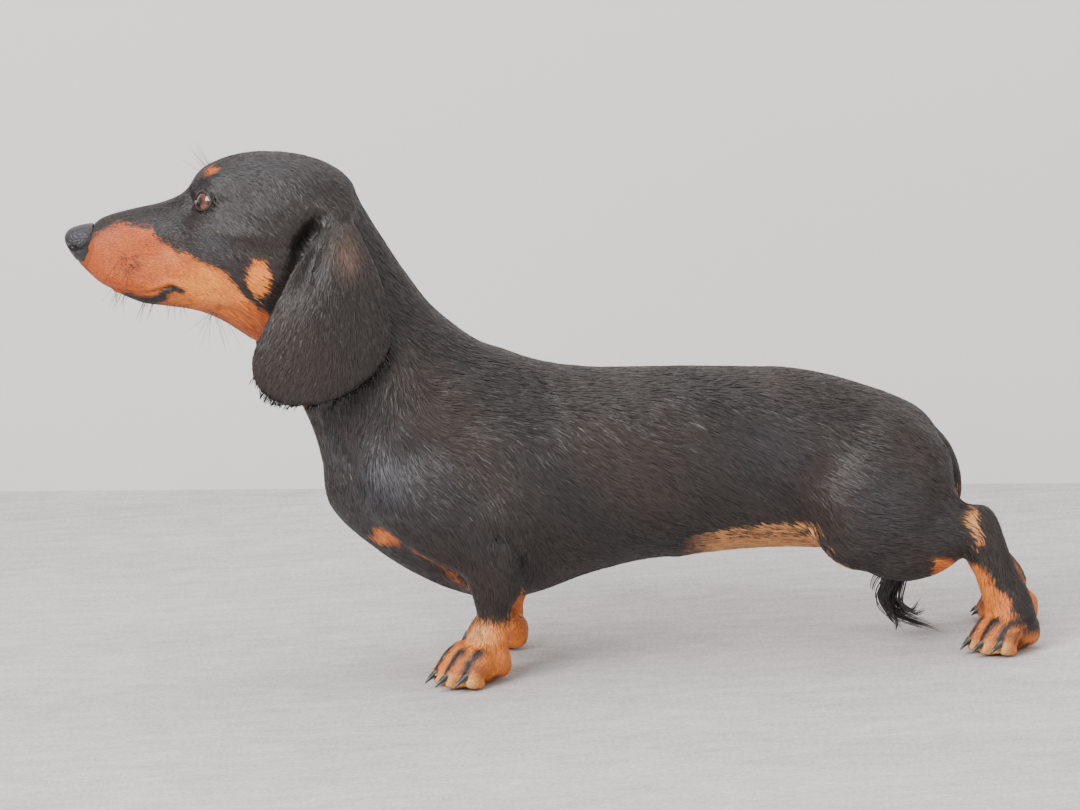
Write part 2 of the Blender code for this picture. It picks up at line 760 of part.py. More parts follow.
def gaze_frame(side):
    """A frame at the eye: its X across the lids, its Y up the eye and its Z along the gaze."""
    out = Vector((EYE_GAZE[0], side * EYE_GAZE[1], EYE_GAZE[2])).normalized()
    across = out.cross(Vector((0, 0, 1))).normalized()
    upward = across.cross(out).normalized()
    frame = Matrix((across, upward, out)).transposed().to_4x4()
    frame.translation = Vector((EYE_CENTRE[0], side * EYE_CENTRE[1], EYE_CENTRE[2]))
    return frame


def eye_opening(side):
    """An almond bar along the gaze, which opens the lids."""
    rings = []
    for depth, wide in ((2, 0.82), (8, 0.98), (16, 1.16)):
        ring = []
        for a in turns(20):
            c, s = math.cos(a), math.sin(a)
            height = EYE_HALF_HEIGHT * math.copysign(abs(s) ** 1.25, s)
            ring.append((EYE_HALF_WIDTH * wide * c, height * wide, depth))
        rings.append(ring)
    bm = bridge_rings(rings)
    bmesh.ops.transform(bm, matrix=gaze_frame(side), verts=bm.verts)
    return bm


def eye_ball(side, grow=0.0, segments=16):
    x, y, z = EYE_CENTRE
    radius = EYE_RADIUS + grow
    bm = ball((0, 0, 0), (radius, radius, radius), None, segments)
    bmesh.ops.transform(bm, matrix=gaze_frame(side), verts=bm.verts)
    return bm


def nose_pad(grow=0.0):
    return section_loft(NOSE_SECTIONS, 1, 2.3, 20, grow)


def nostrils(side):
    """A comma that runs back from the front of the nose along its side."""
    path = [(x, side * y, z) for x, y, z, _ in NOSTRIL_LINE]
    return tube(path, [width * NOSTRIL_RADIUS for *_, width in NOSTRIL_LINE], 7)


def mouth_groove(head):
    """A rod that lies on the skin along the line of the mouth, from corner to corner."""
    bm = bmesh.new()
    bm.from_mesh(head.data)
    skin = BVHTree.FromBMesh(bm)
    bm.free()
    line = spline(MOUTH_LINE, 3)
    both = [(x, -y, z) for x, y, z in line[::-1]] + [(x, y, z) for x, y, z in line[1:]]
    path = []
    for spot in both:
        found = skin.find_nearest(Vector(spot) * MM)[0]
        path.append(found / MM)
    radii = [MOUTH_GROOVE] * len(path)
    radii[0] = radii[-1] = 0.5
    radii[1] = radii[-2] = 0.8
    return tube(path, radii, 6)


def ear_flap(name, side, grow=0.0):
    """A hanging flap with its front edge folded into a cup. Grown, it leaves its socket."""
    rows = spline(EAR_ROWS, 2)
    last_row, columns = len(rows) - 1, 9
    bm = bmesh.new()
    bmesh.ops.create_grid(bm, x_segments=columns, y_segments=last_row, size=0.5)
    cells = {}
    for vert in bm.verts:
        i, j = round((0.5 - vert.co.y) * last_row), round((vert.co.x + 0.5) * columns)
        z, front, back, y_front, y_middle, y_back = rows[i]
        u = j / columns
        cup = EAR_TROUGH * math.exp(-(((z - 229) / 15) ** 2))
        y = y_front * (1 - u) * (1 - 2 * u) + 4 * y_middle * u * (1 - u) - y_back * u * (1 - 2 * u)
        y += cup * (0.35 * math.exp(-((u / 0.09) ** 2)) - math.exp(-(((u - 0.20) / 0.11) ** 2)))
        vert.co = (front + (back - front) * u, side * y, z)
        cells[i, j] = vert
    if grow:
        for (i, j), vert in cells.items():
            if j in (0, columns):
                inner = cells[i, 1 if j == 0 else columns - 1]
                vert.co += (vert.co - inner.co).normalized() * grow
            if i == 0:
                vert.co += (vert.co - cells[1, j].co).normalized() * grow
    if side == RIGHT:
        bmesh.ops.reverse_faces(bm, faces=bm.faces)
    bmesh.ops.scale(bm, vec=(MM, MM, MM), verts=bm.verts)
    bm.verts.index_update()
    rim = [v.index for (i, j), v in cells.items() if j in (0, columns) or i == last_row]
    inside = [v.index for v in cells.values() if v.index not in set(rim)]
    mesh = bpy.data.meshes.new(name)
    bm.to_mesh(mesh)
    bm.free()
    obj = bpy.data.objects.new(name, mesh)
    bpy.context.scene.collection.objects.link(obj)
    thick = obj.vertex_groups.new(name="thick")
    thick.add(inside, 1.0, "REPLACE")
    thick.add(rim, 0.4, "REPLACE")
    solidify = obj.modifiers.new("leather", "SOLIDIFY")
    solidify.thickness = (EAR_THICKNESS + 2 * grow) * MM
    solidify.offset = 0
    solidify.use_even_offset = False
    solidify.vertex_group = "thick"
    apply_modifiers(obj)
    obj.vertex_groups.clear()
    return obj


def tail_core(grow=0.0):
    rows = spline(TAIL, 2)
    path = [(x, 0, z) for x, z, _ in rows]
    if grow:
        path[0] = (path[0][0] - grow, 0, path[0][2])
    return tube(path, [r + grow for _, _, r in rows], 12)


def tail_lock(row):
    """A tapered lock of long hair from the end of the tail."""
    root_y, *bends = row
    path = spline([(190, root_y * 0.8, 37), *bends], 3)
    count = len(path)
    radii = [2.5 * (1 - (k / (count - 1)) ** 2.2) + 0.3 for k in range(count)]
    return tube(path, radii, 7)


def finish(obj, material):
    """Puts a part about the origin, in triangles, shaded smooth, with its finish."""
    bm = bmesh.new()
    bm.from_mesh(obj.data)
    bmesh.ops.translate(bm, vec=(-MIDDLE[0] * MM, -MIDDLE[1] * MM, 0), verts=bm.verts)
    bmesh.ops.triangulate(bm, faces=bm.faces)
    bm.to_mesh(obj.data)
    bm.free()
    obj.data.materials.clear()
    obj.data.materials.append(material_of(material))
    obj.data.shade_smooth()
    obj.data.set_sharp_from_angle(angle=math.radians(50))


def main():
    clear_scene()
    parts = cut_flesh(fuse_flesh())
    head, torso = parts["head"], parts["torso"]
    combine(head, "DIFFERENCE", [add_object("mouth", [mouth_groove(head)])])
    combine(head, "DIFFERENCE", [add_object("nose_socket", [nose_pad(GAP)])])
    parts["nose"] = add_object("nose", [nose_pad()])
    for side, word in ((LEFT, "left"), (RIGHT, "right")):
        combine(head, "DIFFERENCE", [add_object("socket", [eye_ball(side, GAP)])])
        combine(head, "DIFFERENCE", [add_object("opening", [eye_opening(side)])])
        parts[f"eye_{word}"] = add_object(f"eye_{word}", [eye_ball(side)])
        combine(parts["nose"], "DIFFERENCE", [add_object("nostril", [nostrils(side)])])
        parts[f"ear_{word}"] = ear_flap(f"ear_{word}", side)
        for part in ("head", "neck"):
            combine(parts[part], "DIFFERENCE", [ear_flap("ear_socket", side, GAP * 1.5)])
    combine(torso, "DIFFERENCE", [add_object("tail_socket", [tail_core(GAP)])])
    parts["tail"] = add_object("tail", [tail_core()])
    combine(parts["tail"], "UNION", [add_object("lock", [tail_lock(row)]) for row in TAIL_LOCKS])
    for name, paw in paws().items():
        end, word = name.split("_")
        flesh = parts[f"{end}paw_{word}"]
        floor = [(-150, 0), (-150, -20), (350, -20), (350, 0)]
        combine(flesh, "DIFFERENCE", [add_object("floor", [prism(floor, -100, 100)])])
        for k, toe in enumerate(TOES, 1):
            combine(flesh, "DIFFERENCE", [add_object("claw_socket", [paw.claw(toe, GAP)])])
            claw = f"claw_{end}_{word}_{k}"
            parts[claw] = add_object(claw, [paw.claw(toe)])
        if end == "fore":
            spot = wrist(paw.side)
            for part in (flesh, parts[f"foreleg_{word}"]):
                combine(part, "DIFFERENCE", [add_object("dew_socket", [dewclaw(paw, *spot, GAP)])])
            parts[f"dewclaw_{word}"] = add_object(f"dewclaw_{word}", [dewclaw(paw, *spot)])
    group = bpy.data.collections.new("dachshund")
    bpy.context.scene.collection.children.link(group)
    for name, obj in parts.items():
        obj.name = name
        keep_largest(obj)
        finish(obj, finish_for(name))
        group.objects.link(obj)
        bpy.context.scene.collection.objects.unlink(obj)


def finish_for(name):
    if "claw" in name:
        return "claw"
    if name.startswith("eye"):
        return "eye"
    if name == "nose":
        return "nose_leather"
    return "coat_tan" if "paw" in name else "coat_black"


main()
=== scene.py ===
# %% [markdown]
# # A smooth-haired miniature dachshund
#
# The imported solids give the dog's true shape and size. This file dresses them: one skin
# over all the flesh, a short coat of real tufts that lies along the body, and eyes, nose,
# claws and whiskers as pieces of their own. Everything is in metres and Z points up. The
# dog faces -X, and its left side is towards -Y, where the camera stands.

import math
import time

import bmesh
import bpy
import numpy as np
from mathutils import Matrix, Vector
from mathutils.bvhtree import BVHTree


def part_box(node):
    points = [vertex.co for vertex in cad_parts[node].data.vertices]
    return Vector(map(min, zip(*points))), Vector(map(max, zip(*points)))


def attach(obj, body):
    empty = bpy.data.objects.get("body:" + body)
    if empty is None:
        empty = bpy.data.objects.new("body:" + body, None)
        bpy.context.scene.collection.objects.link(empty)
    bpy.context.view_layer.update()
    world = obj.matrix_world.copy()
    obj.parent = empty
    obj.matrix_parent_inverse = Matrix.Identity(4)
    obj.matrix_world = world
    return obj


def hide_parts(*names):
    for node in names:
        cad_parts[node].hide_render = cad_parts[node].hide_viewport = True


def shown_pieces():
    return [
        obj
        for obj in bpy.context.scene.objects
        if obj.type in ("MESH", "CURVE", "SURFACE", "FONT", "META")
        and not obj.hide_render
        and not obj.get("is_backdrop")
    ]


started = time.time()
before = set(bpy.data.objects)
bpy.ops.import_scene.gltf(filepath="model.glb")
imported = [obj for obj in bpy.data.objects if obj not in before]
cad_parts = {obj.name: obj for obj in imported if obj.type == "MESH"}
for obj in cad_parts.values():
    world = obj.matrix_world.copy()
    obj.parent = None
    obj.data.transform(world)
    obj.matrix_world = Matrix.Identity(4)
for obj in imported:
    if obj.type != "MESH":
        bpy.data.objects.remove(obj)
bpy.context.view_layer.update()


def tell(*words):
    """Prints what a cell made, and the seconds since the start."""
    print(*words, "-", round(time.time() - started, 1), "s")

# %% [markdown]
# ## The dog's own measure
#
# A dog is easier to describe in millimetres from its own middle line than in metres from
# the middle of its box. Both sides are alike, apart from the right feet, which stand a
# little further back. So a place is folded onto one side before anything asks what colour
# or hair it has there. That keeps every table in this file half as long.

# %% Millimetres on the folded dog
MM = 0.001
MIDDLE = np.array([6.2, -4.1, 0.0])  # where the box's middle lies, measured from the dog's
# How far back the right feet stand, and how low that hock is.
FORE_SHIFT, HIND_SHIFT, HOCK_DROP = 15.0, 13.0, 15.0
random = np.random.default_rng(11)


def own(points):
    """Points in metres as millimetres from the dog's own middle line."""
    return points / MM + MIDDLE


def folded(points):
    """Both sides laid on each other: x, distance from the middle line, z."""
    p = own(points)
    drop = HOCK_DROP * np.interp(p[:, 2], (16, 63, 140), (0, 1, 0))
    drop *= np.clip(1 + (p[:, 0] - 224) / 42, 0, 1)
    p[:, 2] += np.where((p[:, 1] > 0) & (p[:, 0] > 182), drop, 0)
    shift = np.where(p[:, 0] < 80, FORE_SHIFT, HIND_SHIFT) * np.clip(1 - p[:, 2] / 130, 0, 1)
    p[:, 0] -= np.where(p[:, 1] > 0, shift, 0)
    p[:, 1] = np.abs(p[:, 1])
    return p


def place(x, y, z):
    """A place in the dog's own millimetres, in metres."""
    return Vector((np.array([x, y, z]) - MIDDLE) * MM)


def ramp(value, low, high):
    """0 below low, 1 above high, and a smooth step between them."""
    t = np.clip((value - low) / (high - low), 0, 1)
    return t * t * (3 - 2 * t)


def bump_at(p, centre, reach):
    """1 at a spot, falling smoothly to 0 over its reach along x, y and z."""
    return np.exp(-(((p - np.array(centre)) / np.array(reach)) ** 2).sum(axis=1))


def line_distance(p, line):
    """How far each point lies from a bent line."""
    best = np.full(len(p), 1e9)
    for a, b in zip(np.array(line[:-1], float), np.array(line[1:], float)):
        t = np.clip((p - a) @ (b - a) / ((b - a) @ (b - a)), 0, 1)
        best = np.minimum(best, np.linalg.norm(p - a - t[:, None] * (b - a), axis=1))
    return best


def on_line(p, line, reach):
    """1 on a bent line, falling smoothly to 0 over its reach."""
    return np.exp(-((line_distance(p, line) / reach) ** 2))


def waves(p, size, seed):
    """Soft noise between about -1 and 1: a few sine waves in seeded directions."""
    dice = np.random.default_rng(seed)
    total = np.zeros(len(p))
    for _ in range(7):
        ray = dice.normal(size=3)
        ray *= 2 * math.pi / size / np.linalg.norm(ray) * dice.uniform(0.6, 1.5)
        total += np.sin(p @ ray + dice.uniform(0, 6.3))
    return total / 3.2


# %% [markdown]
# ## Arrays in and out of a mesh
#
# A coat has more than a million faces, which is too many to touch one at a time in
# Python. Blender hands whole arrays over with `foreach_get` and `foreach_set`, and numpy
# works on all of them at once.

# %% Meshes as arrays
def numbers(items, key, width, kind=np.float32):
    out = np.empty(len(items) * width, kind)
    items.foreach_get(key, out)
    return out.reshape(-1, width) if width > 1 else out


def triangles_of(mesh):
    mesh.calc_loop_triangles()
    return numbers(mesh.loop_triangles, "vertices", 3, np.int32)


def mesh_of(name, points, faces):
    """A mesh of triangles from arrays of points and corners."""
    mesh = bpy.data.meshes.new(name)
    mesh.vertices.add(len(points))
    mesh.vertices.foreach_set("co", points.astype(np.float32).ravel())
    mesh.loops.add(faces.size)
    mesh.loops.foreach_set("vertex_index", faces.astype(np.int32).ravel())
    mesh.polygons.add(len(faces))
    mesh.polygons.foreach_set("loop_start", np.arange(len(faces), dtype=np.int32) * 3)
    mesh.update(calc_edges=True)
    mesh.shade_smooth()
    return mesh


def points_of(mesh):
    return numbers(mesh.vertices, "co", 3).astype(float)


def move_points(mesh, points):
    mesh.vertices.foreach_set("co", points.astype(np.float32).ravel())


def areas_of(corners):
    """The area of each triangle in square millimetres."""
    a, b, c = corners.transpose(1, 0, 2)
    return 0.5 * np.linalg.norm(np.cross(b - a, c - a), axis=1) / MM**2


def mesh_from(name, shape):
    """The mesh of a bmesh, which is then freed."""
    mesh = bpy.data.meshes.new(name)
    shape.to_mesh(mesh)
    shape.free()
    return mesh


def linked(name, data):
    """A new object in the scene."""
    obj = bpy.data.objects.new(name, data)
    bpy.context.scene.collection.objects.link(obj)
    return obj


def show(name, mesh, material=None):
    """Puts a finished mesh in the scene, on the dog's one body."""
    obj = linked(name, mesh)
    if material:
        obj.data.materials.append(material)
    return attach(obj, "root")


def evaluated(obj):
    """The mesh that the modifiers make, and the object removed."""
    graph = bpy.context.evaluated_depsgraph_get()
    mesh = bpy.data.meshes.new_from_object(obj.evaluated_get(graph), depsgraph=graph)
    bpy.data.objects.remove(obj)
    return mesh


def fused_from(name, shape, voxel):
    """One closed surface round all the solids of a bmesh."""
    obj = linked(name, mesh_from(name, shape))
    fuse = obj.modifiers.new("fuse", "REMESH")
    fuse.mode, fuse.voxel_size = "VOXEL", voxel
    return evaluated(obj)


def paint(mesh, name, colours):
    """A colour at each point, for the materials to read."""
    layer = mesh.color_attributes.new(name, "FLOAT_COLOR", "POINT")
    opaque = np.column_stack([colours, np.ones(len(colours))])
    layer.data.foreach_set("color", opaque.astype(np.float32).ravel())


# %% [markdown]
# ## One skin
#
# The flesh is packed as a dozen solids with hair-thin gaps between them. The real dog has
# one skin, so the solids are copied, swollen until they overlap, and remeshed with small
# voxels into a single surface. The voxel steps and the solids' flat facets are then
# relaxed away: each round pulls the points together and pushes them apart again by a
# little more, which smooths without thinning the legs. Last the skin sinks in by the
# depth of the coat that will stand on it.

# %% Fuse the flesh
FLESH = ["head", "neck", "torso"]
for limb in ("ear", "foreleg", "forepaw", "hindleg", "hindpaw"):
    FLESH += [f"{limb}_left", f"{limb}_right"]
SWELL = 0.35 * MM
TAIL = (  # x, z and radius
    (188, 118, 10.2), (202, 114, 9.9), (211.5, 103, 9.3), (216.5, 88, 8.4),
    (215, 72, 7.2), (208, 57, 6.2), (198, 45, 5.2), (189, 36, 4.0),
)
VOXEL, SAME_SPOT = 1.3 * MM, 1e-6


def smooth_path(rows, steps):
    """A Catmull-Rom curve through rows of numbers."""
    rows = np.array(rows, float)
    ends = np.vstack([2 * rows[0] - rows[1], rows, 2 * rows[-1] - rows[-2]])
    out = []
    for a, b, c, d in zip(ends, ends[1:], ends[2:], ends[3:]):
        for t in np.arange(steps) / steps:
            bend = (2 * a - 5 * b + 4 * c - d) * t**2 + (3 * b - 3 * c + d - a) * t**3
            out.append(0.5 * (2 * b + (c - a) * t + bend))
    return np.array(out + [rows[-1]])


body = bmesh.new()
for node in FLESH + ["nose"]:
    part = bmesh.new()
    part.from_mesh(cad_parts[node].data)
    bmesh.ops.remove_doubles(part, verts=part.verts, dist=SAME_SPOT)
    part.normal_update()
    for vert in part.verts:
        vert.co += vert.normal * SWELL
    loose = mesh_from("loose", part)
    body.from_mesh(loose)
    bpy.data.meshes.remove(loose)
for x, z, radius in smooth_path(TAIL, 6):
    spot = Matrix.Translation(place(x, 0, z))
    bmesh.ops.create_icosphere(body, subdivisions=2, radius=radius * MM, matrix=spot)
fused = fused_from("flesh", body, VOXEL)
tell("fused skin:", len(fused.vertices), "points")

# %% Relax it
ROUNDS = 90
MOUTH = (  # the line of the lips, from the front to the corner
    (-238, 0, 218.5), (-236.5, 4.8, 218), (-233, 9.2, 217.2), (-228, 12.8, 216.2),
    (-221, 15.6, 214.8), (-214.5, 17.2, 215.2), (-208.5, 18.4, 217.4), (-202.5, 19.8, 219.2),
    (-198, 20.8, 217), (-194.5, 21.4, 213),
)


def relax(points, edges, rounds):
    """Smooths with no shrinking: a pull to the neighbours, then a slightly longer push back."""
    share = 1 / np.bincount(edges.ravel(), minlength=len(points))
    for _ in range(rounds):
        for step in (0.5, -0.52):
            for axis in range(3):
                value = points[:, axis]
                total = np.bincount(edges[:, 0], value[edges[:, 1]], len(points))
                total += np.bincount(edges[:, 1], value[edges[:, 0]], len(points))
                points[:, axis] = value + step * (total * share - value)
    return points


def close_to(points, nodes, reach):
    """1 where a point lies within reach of one of the solids, 0 elsewhere."""
    out = np.zeros(len(points))
    for node in nodes:
        low, high = (np.array(c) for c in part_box(node))
        inside = np.nonzero(((points > low - reach) & (points < high + reach)).all(axis=1))[0]
        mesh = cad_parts[node].data
        tree = BVHTree.FromPolygons(points_of(mesh).tolist(), triangles_of(mesh).tolist())
        for i in inside:
            out[i] = tree.find_nearest(Vector(points[i]), reach)[0] is not None
    return out


def ear_share(points):
    return close_to(points, ("ear_left", "ear_right"), 2.6 * MM)


skin_points = relax(points_of(fused), numbers(fused.edges, "vertices", 2, np.int32), ROUNDS)
move_points(fused, skin_points)
tell("relaxed")

# %% [markdown]
# ## Lids, lips and folds
#
# A lid is a thin edge that rests on the eyeball, with a crease behind it. Around the eyes
# and the mouth the skin is first cut finer. Then each point near an eye slides towards or
# away from the middle of the eyeball: inside the opening it sinks behind the ball, and
# just outside it rises over the ball as a lid. The body's folds are bent lines seen from
# the side, along which the skin sinks or stands up: the valley in front of the shoulder,
# the elbow, the end of the shoulder blade, the flank and the throat.

# %% Finer skin round the eyes and mouth
EYE, EYE_RADIUS = (-176.6, 16.4, 263.0), 9.4  # middle of the eyeball, on the folded dog
SOCKET, GAZE = (-0.71, 0.68, 0.16), (-0.84, 0.53, 0.14)
EYE_EDGE = (  # degrees round the opening from the nose, and its reach in millimetres
    (0, 7.0), (30, 5.9), (60, 5.3), (90, 5.0), (120, 4.9), (150, 5.3), (180, 6.2),
    (210, 5.5), (240, 4.8), (270, 4.6), (300, 4.8), (330, 5.7), (360, 7.0),
)
INNER = np.cross((0, 0, 1), SOCKET) / math.hypot(*SOCKET[:2])  # towards the nose
LID_AXES = np.array([INNER, np.cross(SOCKET, INNER), SOCKET])
LID_AXES /= np.linalg.norm(LID_AXES, axis=1)[:, None]
LID_REACH, LIP_REACH = 15, 3.5  # the skin nearer than this is cut finer
FOLDS = (  # along x and z, how deep it sinks, and how wide it is
    (((-124, 150), (-118, 130), (-112, 119), (-110, 108), (-107, 101)), 3.2, 5.0),
    (((-101, 130), (-103, 117), (-102, 105), (-106, 93)), -1.3, 5.0),
    (((-36, 81), (-29, 79.5), (-24.4, 74.6), (-20.6, 66.9)), 2.2, 3.2),
    (((-36, 73), (-31, 71), (-28, 64)), -1.0, 4.5),
    (((-7.3, 165), (-5, 156), (-3.2, 147)), 1.4, 4.5),
    (((108, 97), (123, 83), (131.5, 72.7), (144, 62)), 1.6, 5.0),
    (((-177, 206), (-166.5, 203), (-159.7, 196.5), (-156, 190)), 1.2, 2.4),
)


def lid_gap(p):
    """How far outside the eye's opening each place lies, and how far from the eyeball's middle."""
    local = (p - EYE) @ LID_AXES.T
    away = np.linalg.norm(local, axis=1) + 1e-6
    flat = local[:, :2] * ((EYE_RADIUS + 0.5) / away)[:, None]
    turn = np.degrees(np.arctan2(flat[:, 1], flat[:, 0])) % 360
    edge = np.interp(turn, *zip(*EYE_EDGE))
    return np.where(local[:, 2] > 0, np.linalg.norm(flat, axis=1) - edge, 99.0), away


p = folded(skin_points)
near = (np.linalg.norm(p - EYE, axis=1) < LID_REACH) | (line_distance(p, MOUTH) < LIP_REACH)
cut = bmesh.new()
cut.from_mesh(fused)
edges = [edge for edge in cut.edges if near[edge.verts[0].index] and near[edge.verts[1].index]]
bmesh.ops.subdivide_edges(cut, edges=edges, cuts=2, use_grid_fill=True)
cut.to_mesh(fused)
cut.free()
skin_points = points_of(fused)
tell("cut finer:", len(skin_points), "points")

# %% Sink it under the coat, and shape lids and folds
normals = numbers(fused.vertices, "normal", 3).astype(float)
p = folded(skin_points)
on_ear = ear_share(skin_points)
head = ramp(-p[:, 0], 95, 150) * ramp(p[:, 2], 150, 200)
muzzle = ramp(-p[:, 0], 190, 225)
feet = ramp(-p[:, 2], -40, -15)
depth = 0.95 - 0.35 * head - 0.2 * muzzle - 0.45 * feet
depth = np.where(on_ear > 0, 0.1, depth) + SWELL / MM
p_mouth = line_distance(p, MOUTH)
depth += 1.5 * np.exp(-((p_mouth / 1.1) ** 2)) * (p[:, 0] > -237)
depth -= 0.6 * np.exp(-(((p_mouth - 2.6) / 1.4) ** 2)) * (p[:, 0] > -234)
depth += 1.5 * close_to(skin_points, ["nose"], 0.8 * MM)
sideways = ramp(np.abs(normals[:, 1]), 0.25, 0.6) * (on_ear == 0)
for line, sink, reach in FOLDS:
    depth += sink * on_line(p[:, ::2], line, reach) * sideways
skin_points -= normals * depth[:, None] * MM
p = folded(skin_points)
gap, away = lid_gap(p)
lid = EYE_RADIUS + 1.25 - 0.6 * np.exp(-(((gap - 2.4) / 0.7) ** 2)) * (p[:, 2] > EYE[2] - 2)
wanted = np.where(gap < 0, EYE_RADIUS - 1.8, lid + (away - lid) * ramp(gap, 0.9, 4.2))
slide = (p - EYE) * (np.where(away < 17, wanted, away) / away - 1)[:, None]
slide[:, 1] *= np.sign(own(skin_points)[:, 1])
skin_points += slide * (gap < 9)[:, None] * MM
move_points(fused, skin_points)
fused.update()
skin_faces = triangles_of(fused)
tell("skin:", len(skin_faces), "triangles,", round(areas_of(skin_points[skin_faces]).sum() / 100), "cm2")

# %% Thin the skin where it is plain
SKIN_TRIANGLES = 188000
p = folded(skin_points)
face = ramp(-p[:, 0], 150, 190) * ramp(p[:, 2], 150, 200)
detail = np.maximum(face * 0.6, ramp(-p[:, 2], -30, -15) * 0.4)
detail = np.maximum(detail, (np.linalg.norm(p - EYE, axis=1) < LID_REACH) * 0.9)
skin_object = linked("skin_thinning", fused)
group = skin_object.vertex_groups.new(name="detail")
levels = np.round(detail * 20).astype(int)
for level in np.unique(levels):
    group.add(np.nonzero(levels == level)[0].tolist(), level / 20, "REPLACE")
thin = skin_object.modifiers.new("thin", "DECIMATE")
thin.ratio = SKIN_TRIANGLES / len(skin_faces)
thin.vertex_group = "detail"
thin.invert_vertex_group = True
thin.vertex_group_factor = 0.01
thinned = evaluated(skin_object)
skin_points = points_of(thinned)
skin_faces = triangles_of(thinned)
skin_mesh = mesh_of("skin", skin_points, skin_faces)
skin_normals = numbers(skin_mesh.vertices, "normal", 3).astype(float)
tell("skin thinned to", len(skin_faces), "triangles")

# %% [markdown]
# ## Black and tan
#
# The coat is black, with tan in the same places on every dog of this colour: the muzzle
# and throat, a spot over each eye and on each cheek, two on the breast, the feet and the
# insides of the legs, and under the tail. One function says how tan a place is, and skin
# and tufts both ask it, so their markings agree. The edge of each patch is broken up by
# soft noise, as hairs of the two colours mix there.

# %% Where the coat is tan
FACE_EDGE = (  # x and z: the muzzle is tan below this line
    (-262, 236), (-247, 241), (-241.5, 248), (-234.5, 252), (-228, 253.5), (-219.5, 252.5),
    (-213, 249.5), (-209, 244.5), (-203.5, 241.8), (-199, 238.5), (-189.5, 235.5), (-180, 230.6),
    (-171, 224.5), (-167.5, 218.5), (-162, 212), (-153, 204.5), (-148, 192), (-140, 170),
)
HIND_EDGE = (  # z and x: the hind foot is tan in front of this line
    (0, 244), (17, 246.5), (20, 243.3), (26, 239.5), (30, 241.5),
    (36, 239), (38, 232.5), (43, 231), (48.5, 228), (54, 226),
)
FRINGE = ((-84, 77), (-72, 70), (-63, 61), (-56, 53))  # x and z of the breast's tan edge


def oval(p, centre, reach, degrees, size, fray):
    """Above 0 inside an oval patch that is turned about Y and has a frayed edge."""
    c, s = math.cos(math.radians(degrees)), math.sin(math.radians(degrees))
    x, y, z = (p - centre).T
    local = np.column_stack([x * c - z * s, y, x * s + z * c])
    return size - np.linalg.norm(local / reach, axis=1) + fray


def face_tan(p, blur):
    x, z = p[:, 0], p[:, 2]
    edge = np.interp(x, *zip(*FACE_EDGE))
    tan = ramp(edge - z + blur * 1.6, -1.6, 1.6) * (x < -138)
    cheek = oval(p, (-157.6, 34, 226), (5.6, 16, 11), 12, 1.25, blur * 0.16)
    brow = oval(p, (-181.4, 16.5, 280.2), (5.4, 8, 4.4), -28, 1.2, blur * 0.2)
    return np.maximum(tan, np.maximum(ramp(cheek, 0.12, 0.36), ramp(brow, 0.12, 0.36)))


def leg_tan(p, blur):
    x, y, z = p.T
    inner = ramp(40 - y, 0, 8) * ramp(y, 22, 26) * ramp(-np.abs(x + 38), -18, -13)
    fore_edge = 37.5 + 24 * inner - 5 * bump_at(p, (-34, 54, 34), (5, 8, 20))
    fore = ramp(fore_edge - z + blur * 3, -3, 3) * (x < 20)
    fore *= np.maximum(ramp(-np.abs(x + 38), -20, -15), z < 32)
    hind_edge = np.interp(z, *zip(*HIND_EDGE))
    hind = ramp(hind_edge - x + blur * 2.2, -2, 2) * ramp(50 - z + (228 - x) * 0.15, -2, 2)
    inner = ramp(32 - y, -2, 5) * ramp(52 - z, -6, 6)
    hind = np.maximum(hind, inner * np.maximum(ramp(x, 216, 222), z < 30))
    hind = np.maximum(hind, ramp(13 - z, -3, 4) * ramp(x, 243, 252)) * (x > 195)
    patch = oval(p, (219, 44, 73), (4.6, 14, 8.6), -14, 1.15, blur * 0.45)
    return np.maximum(np.maximum(fore, hind), 0.9 * ramp(patch, 0, 0.7) * (y > 34))


def trunk_tan(p, blur, normal_z):
    x, y, z = p.T
    breast = oval(p, (-97, 30, 84.5), (11.5, 12, 5.6), -24, 1.15, blur * 0.25)
    fringe = on_line(p[:, ::2], FRINGE, 1.9) * (np.abs(y - 34) < 12)
    vent = oval(p, (214, 0, 86), (9, 8, 10), 0, 1.1, blur * 0.2)
    belly = ramp(-normal_z + blur * 0.3, 0.35, 0.75) * ramp(x, 58, 84) * ramp(-x, -166, -150)
    belly = belly * (z < 78) * (y < 34)
    out = np.maximum(ramp(breast, 0, 0.4), ramp(vent, 0, 0.4))
    return np.maximum(np.maximum(out, fringe * 0.7 * ramp(blur, -0.6, 0.4)), belly * 0.9)


def tan_share(points, normals, jitter=0.0):
    """How tan the coat is at each point, from 0 to 1."""
    p = folded(points)
    blur = waves(p, 9, 3) * 0.6 + waves(p, 3.2, 4) * 0.5 + jitter
    x, _, z = p.T
    face = np.where((x < -130) & (z > 150), face_tan(p, blur), 0)
    legs = np.where((z < 90) & ((x > 195) | (np.abs(x + 35) < 70)), leg_tan(p, blur), 0)
    legs = np.where((z > 60) & (x < 20), 0, legs)
    trunk = np.where((x > -120) & (z > 40), trunk_tan(p, blur, normals[:, 2]), 0)
    return np.maximum(np.maximum(face, legs), trunk)


# %% [markdown]
# ## The lie of the coat
#
# Hair grows backwards and down from the nose to the tail, and down the legs. A few dozen
# guides give its direction and length at places on the folded dog. Anywhere else takes a
# mean of them, in which the nearest count most, laid flat on the skin.

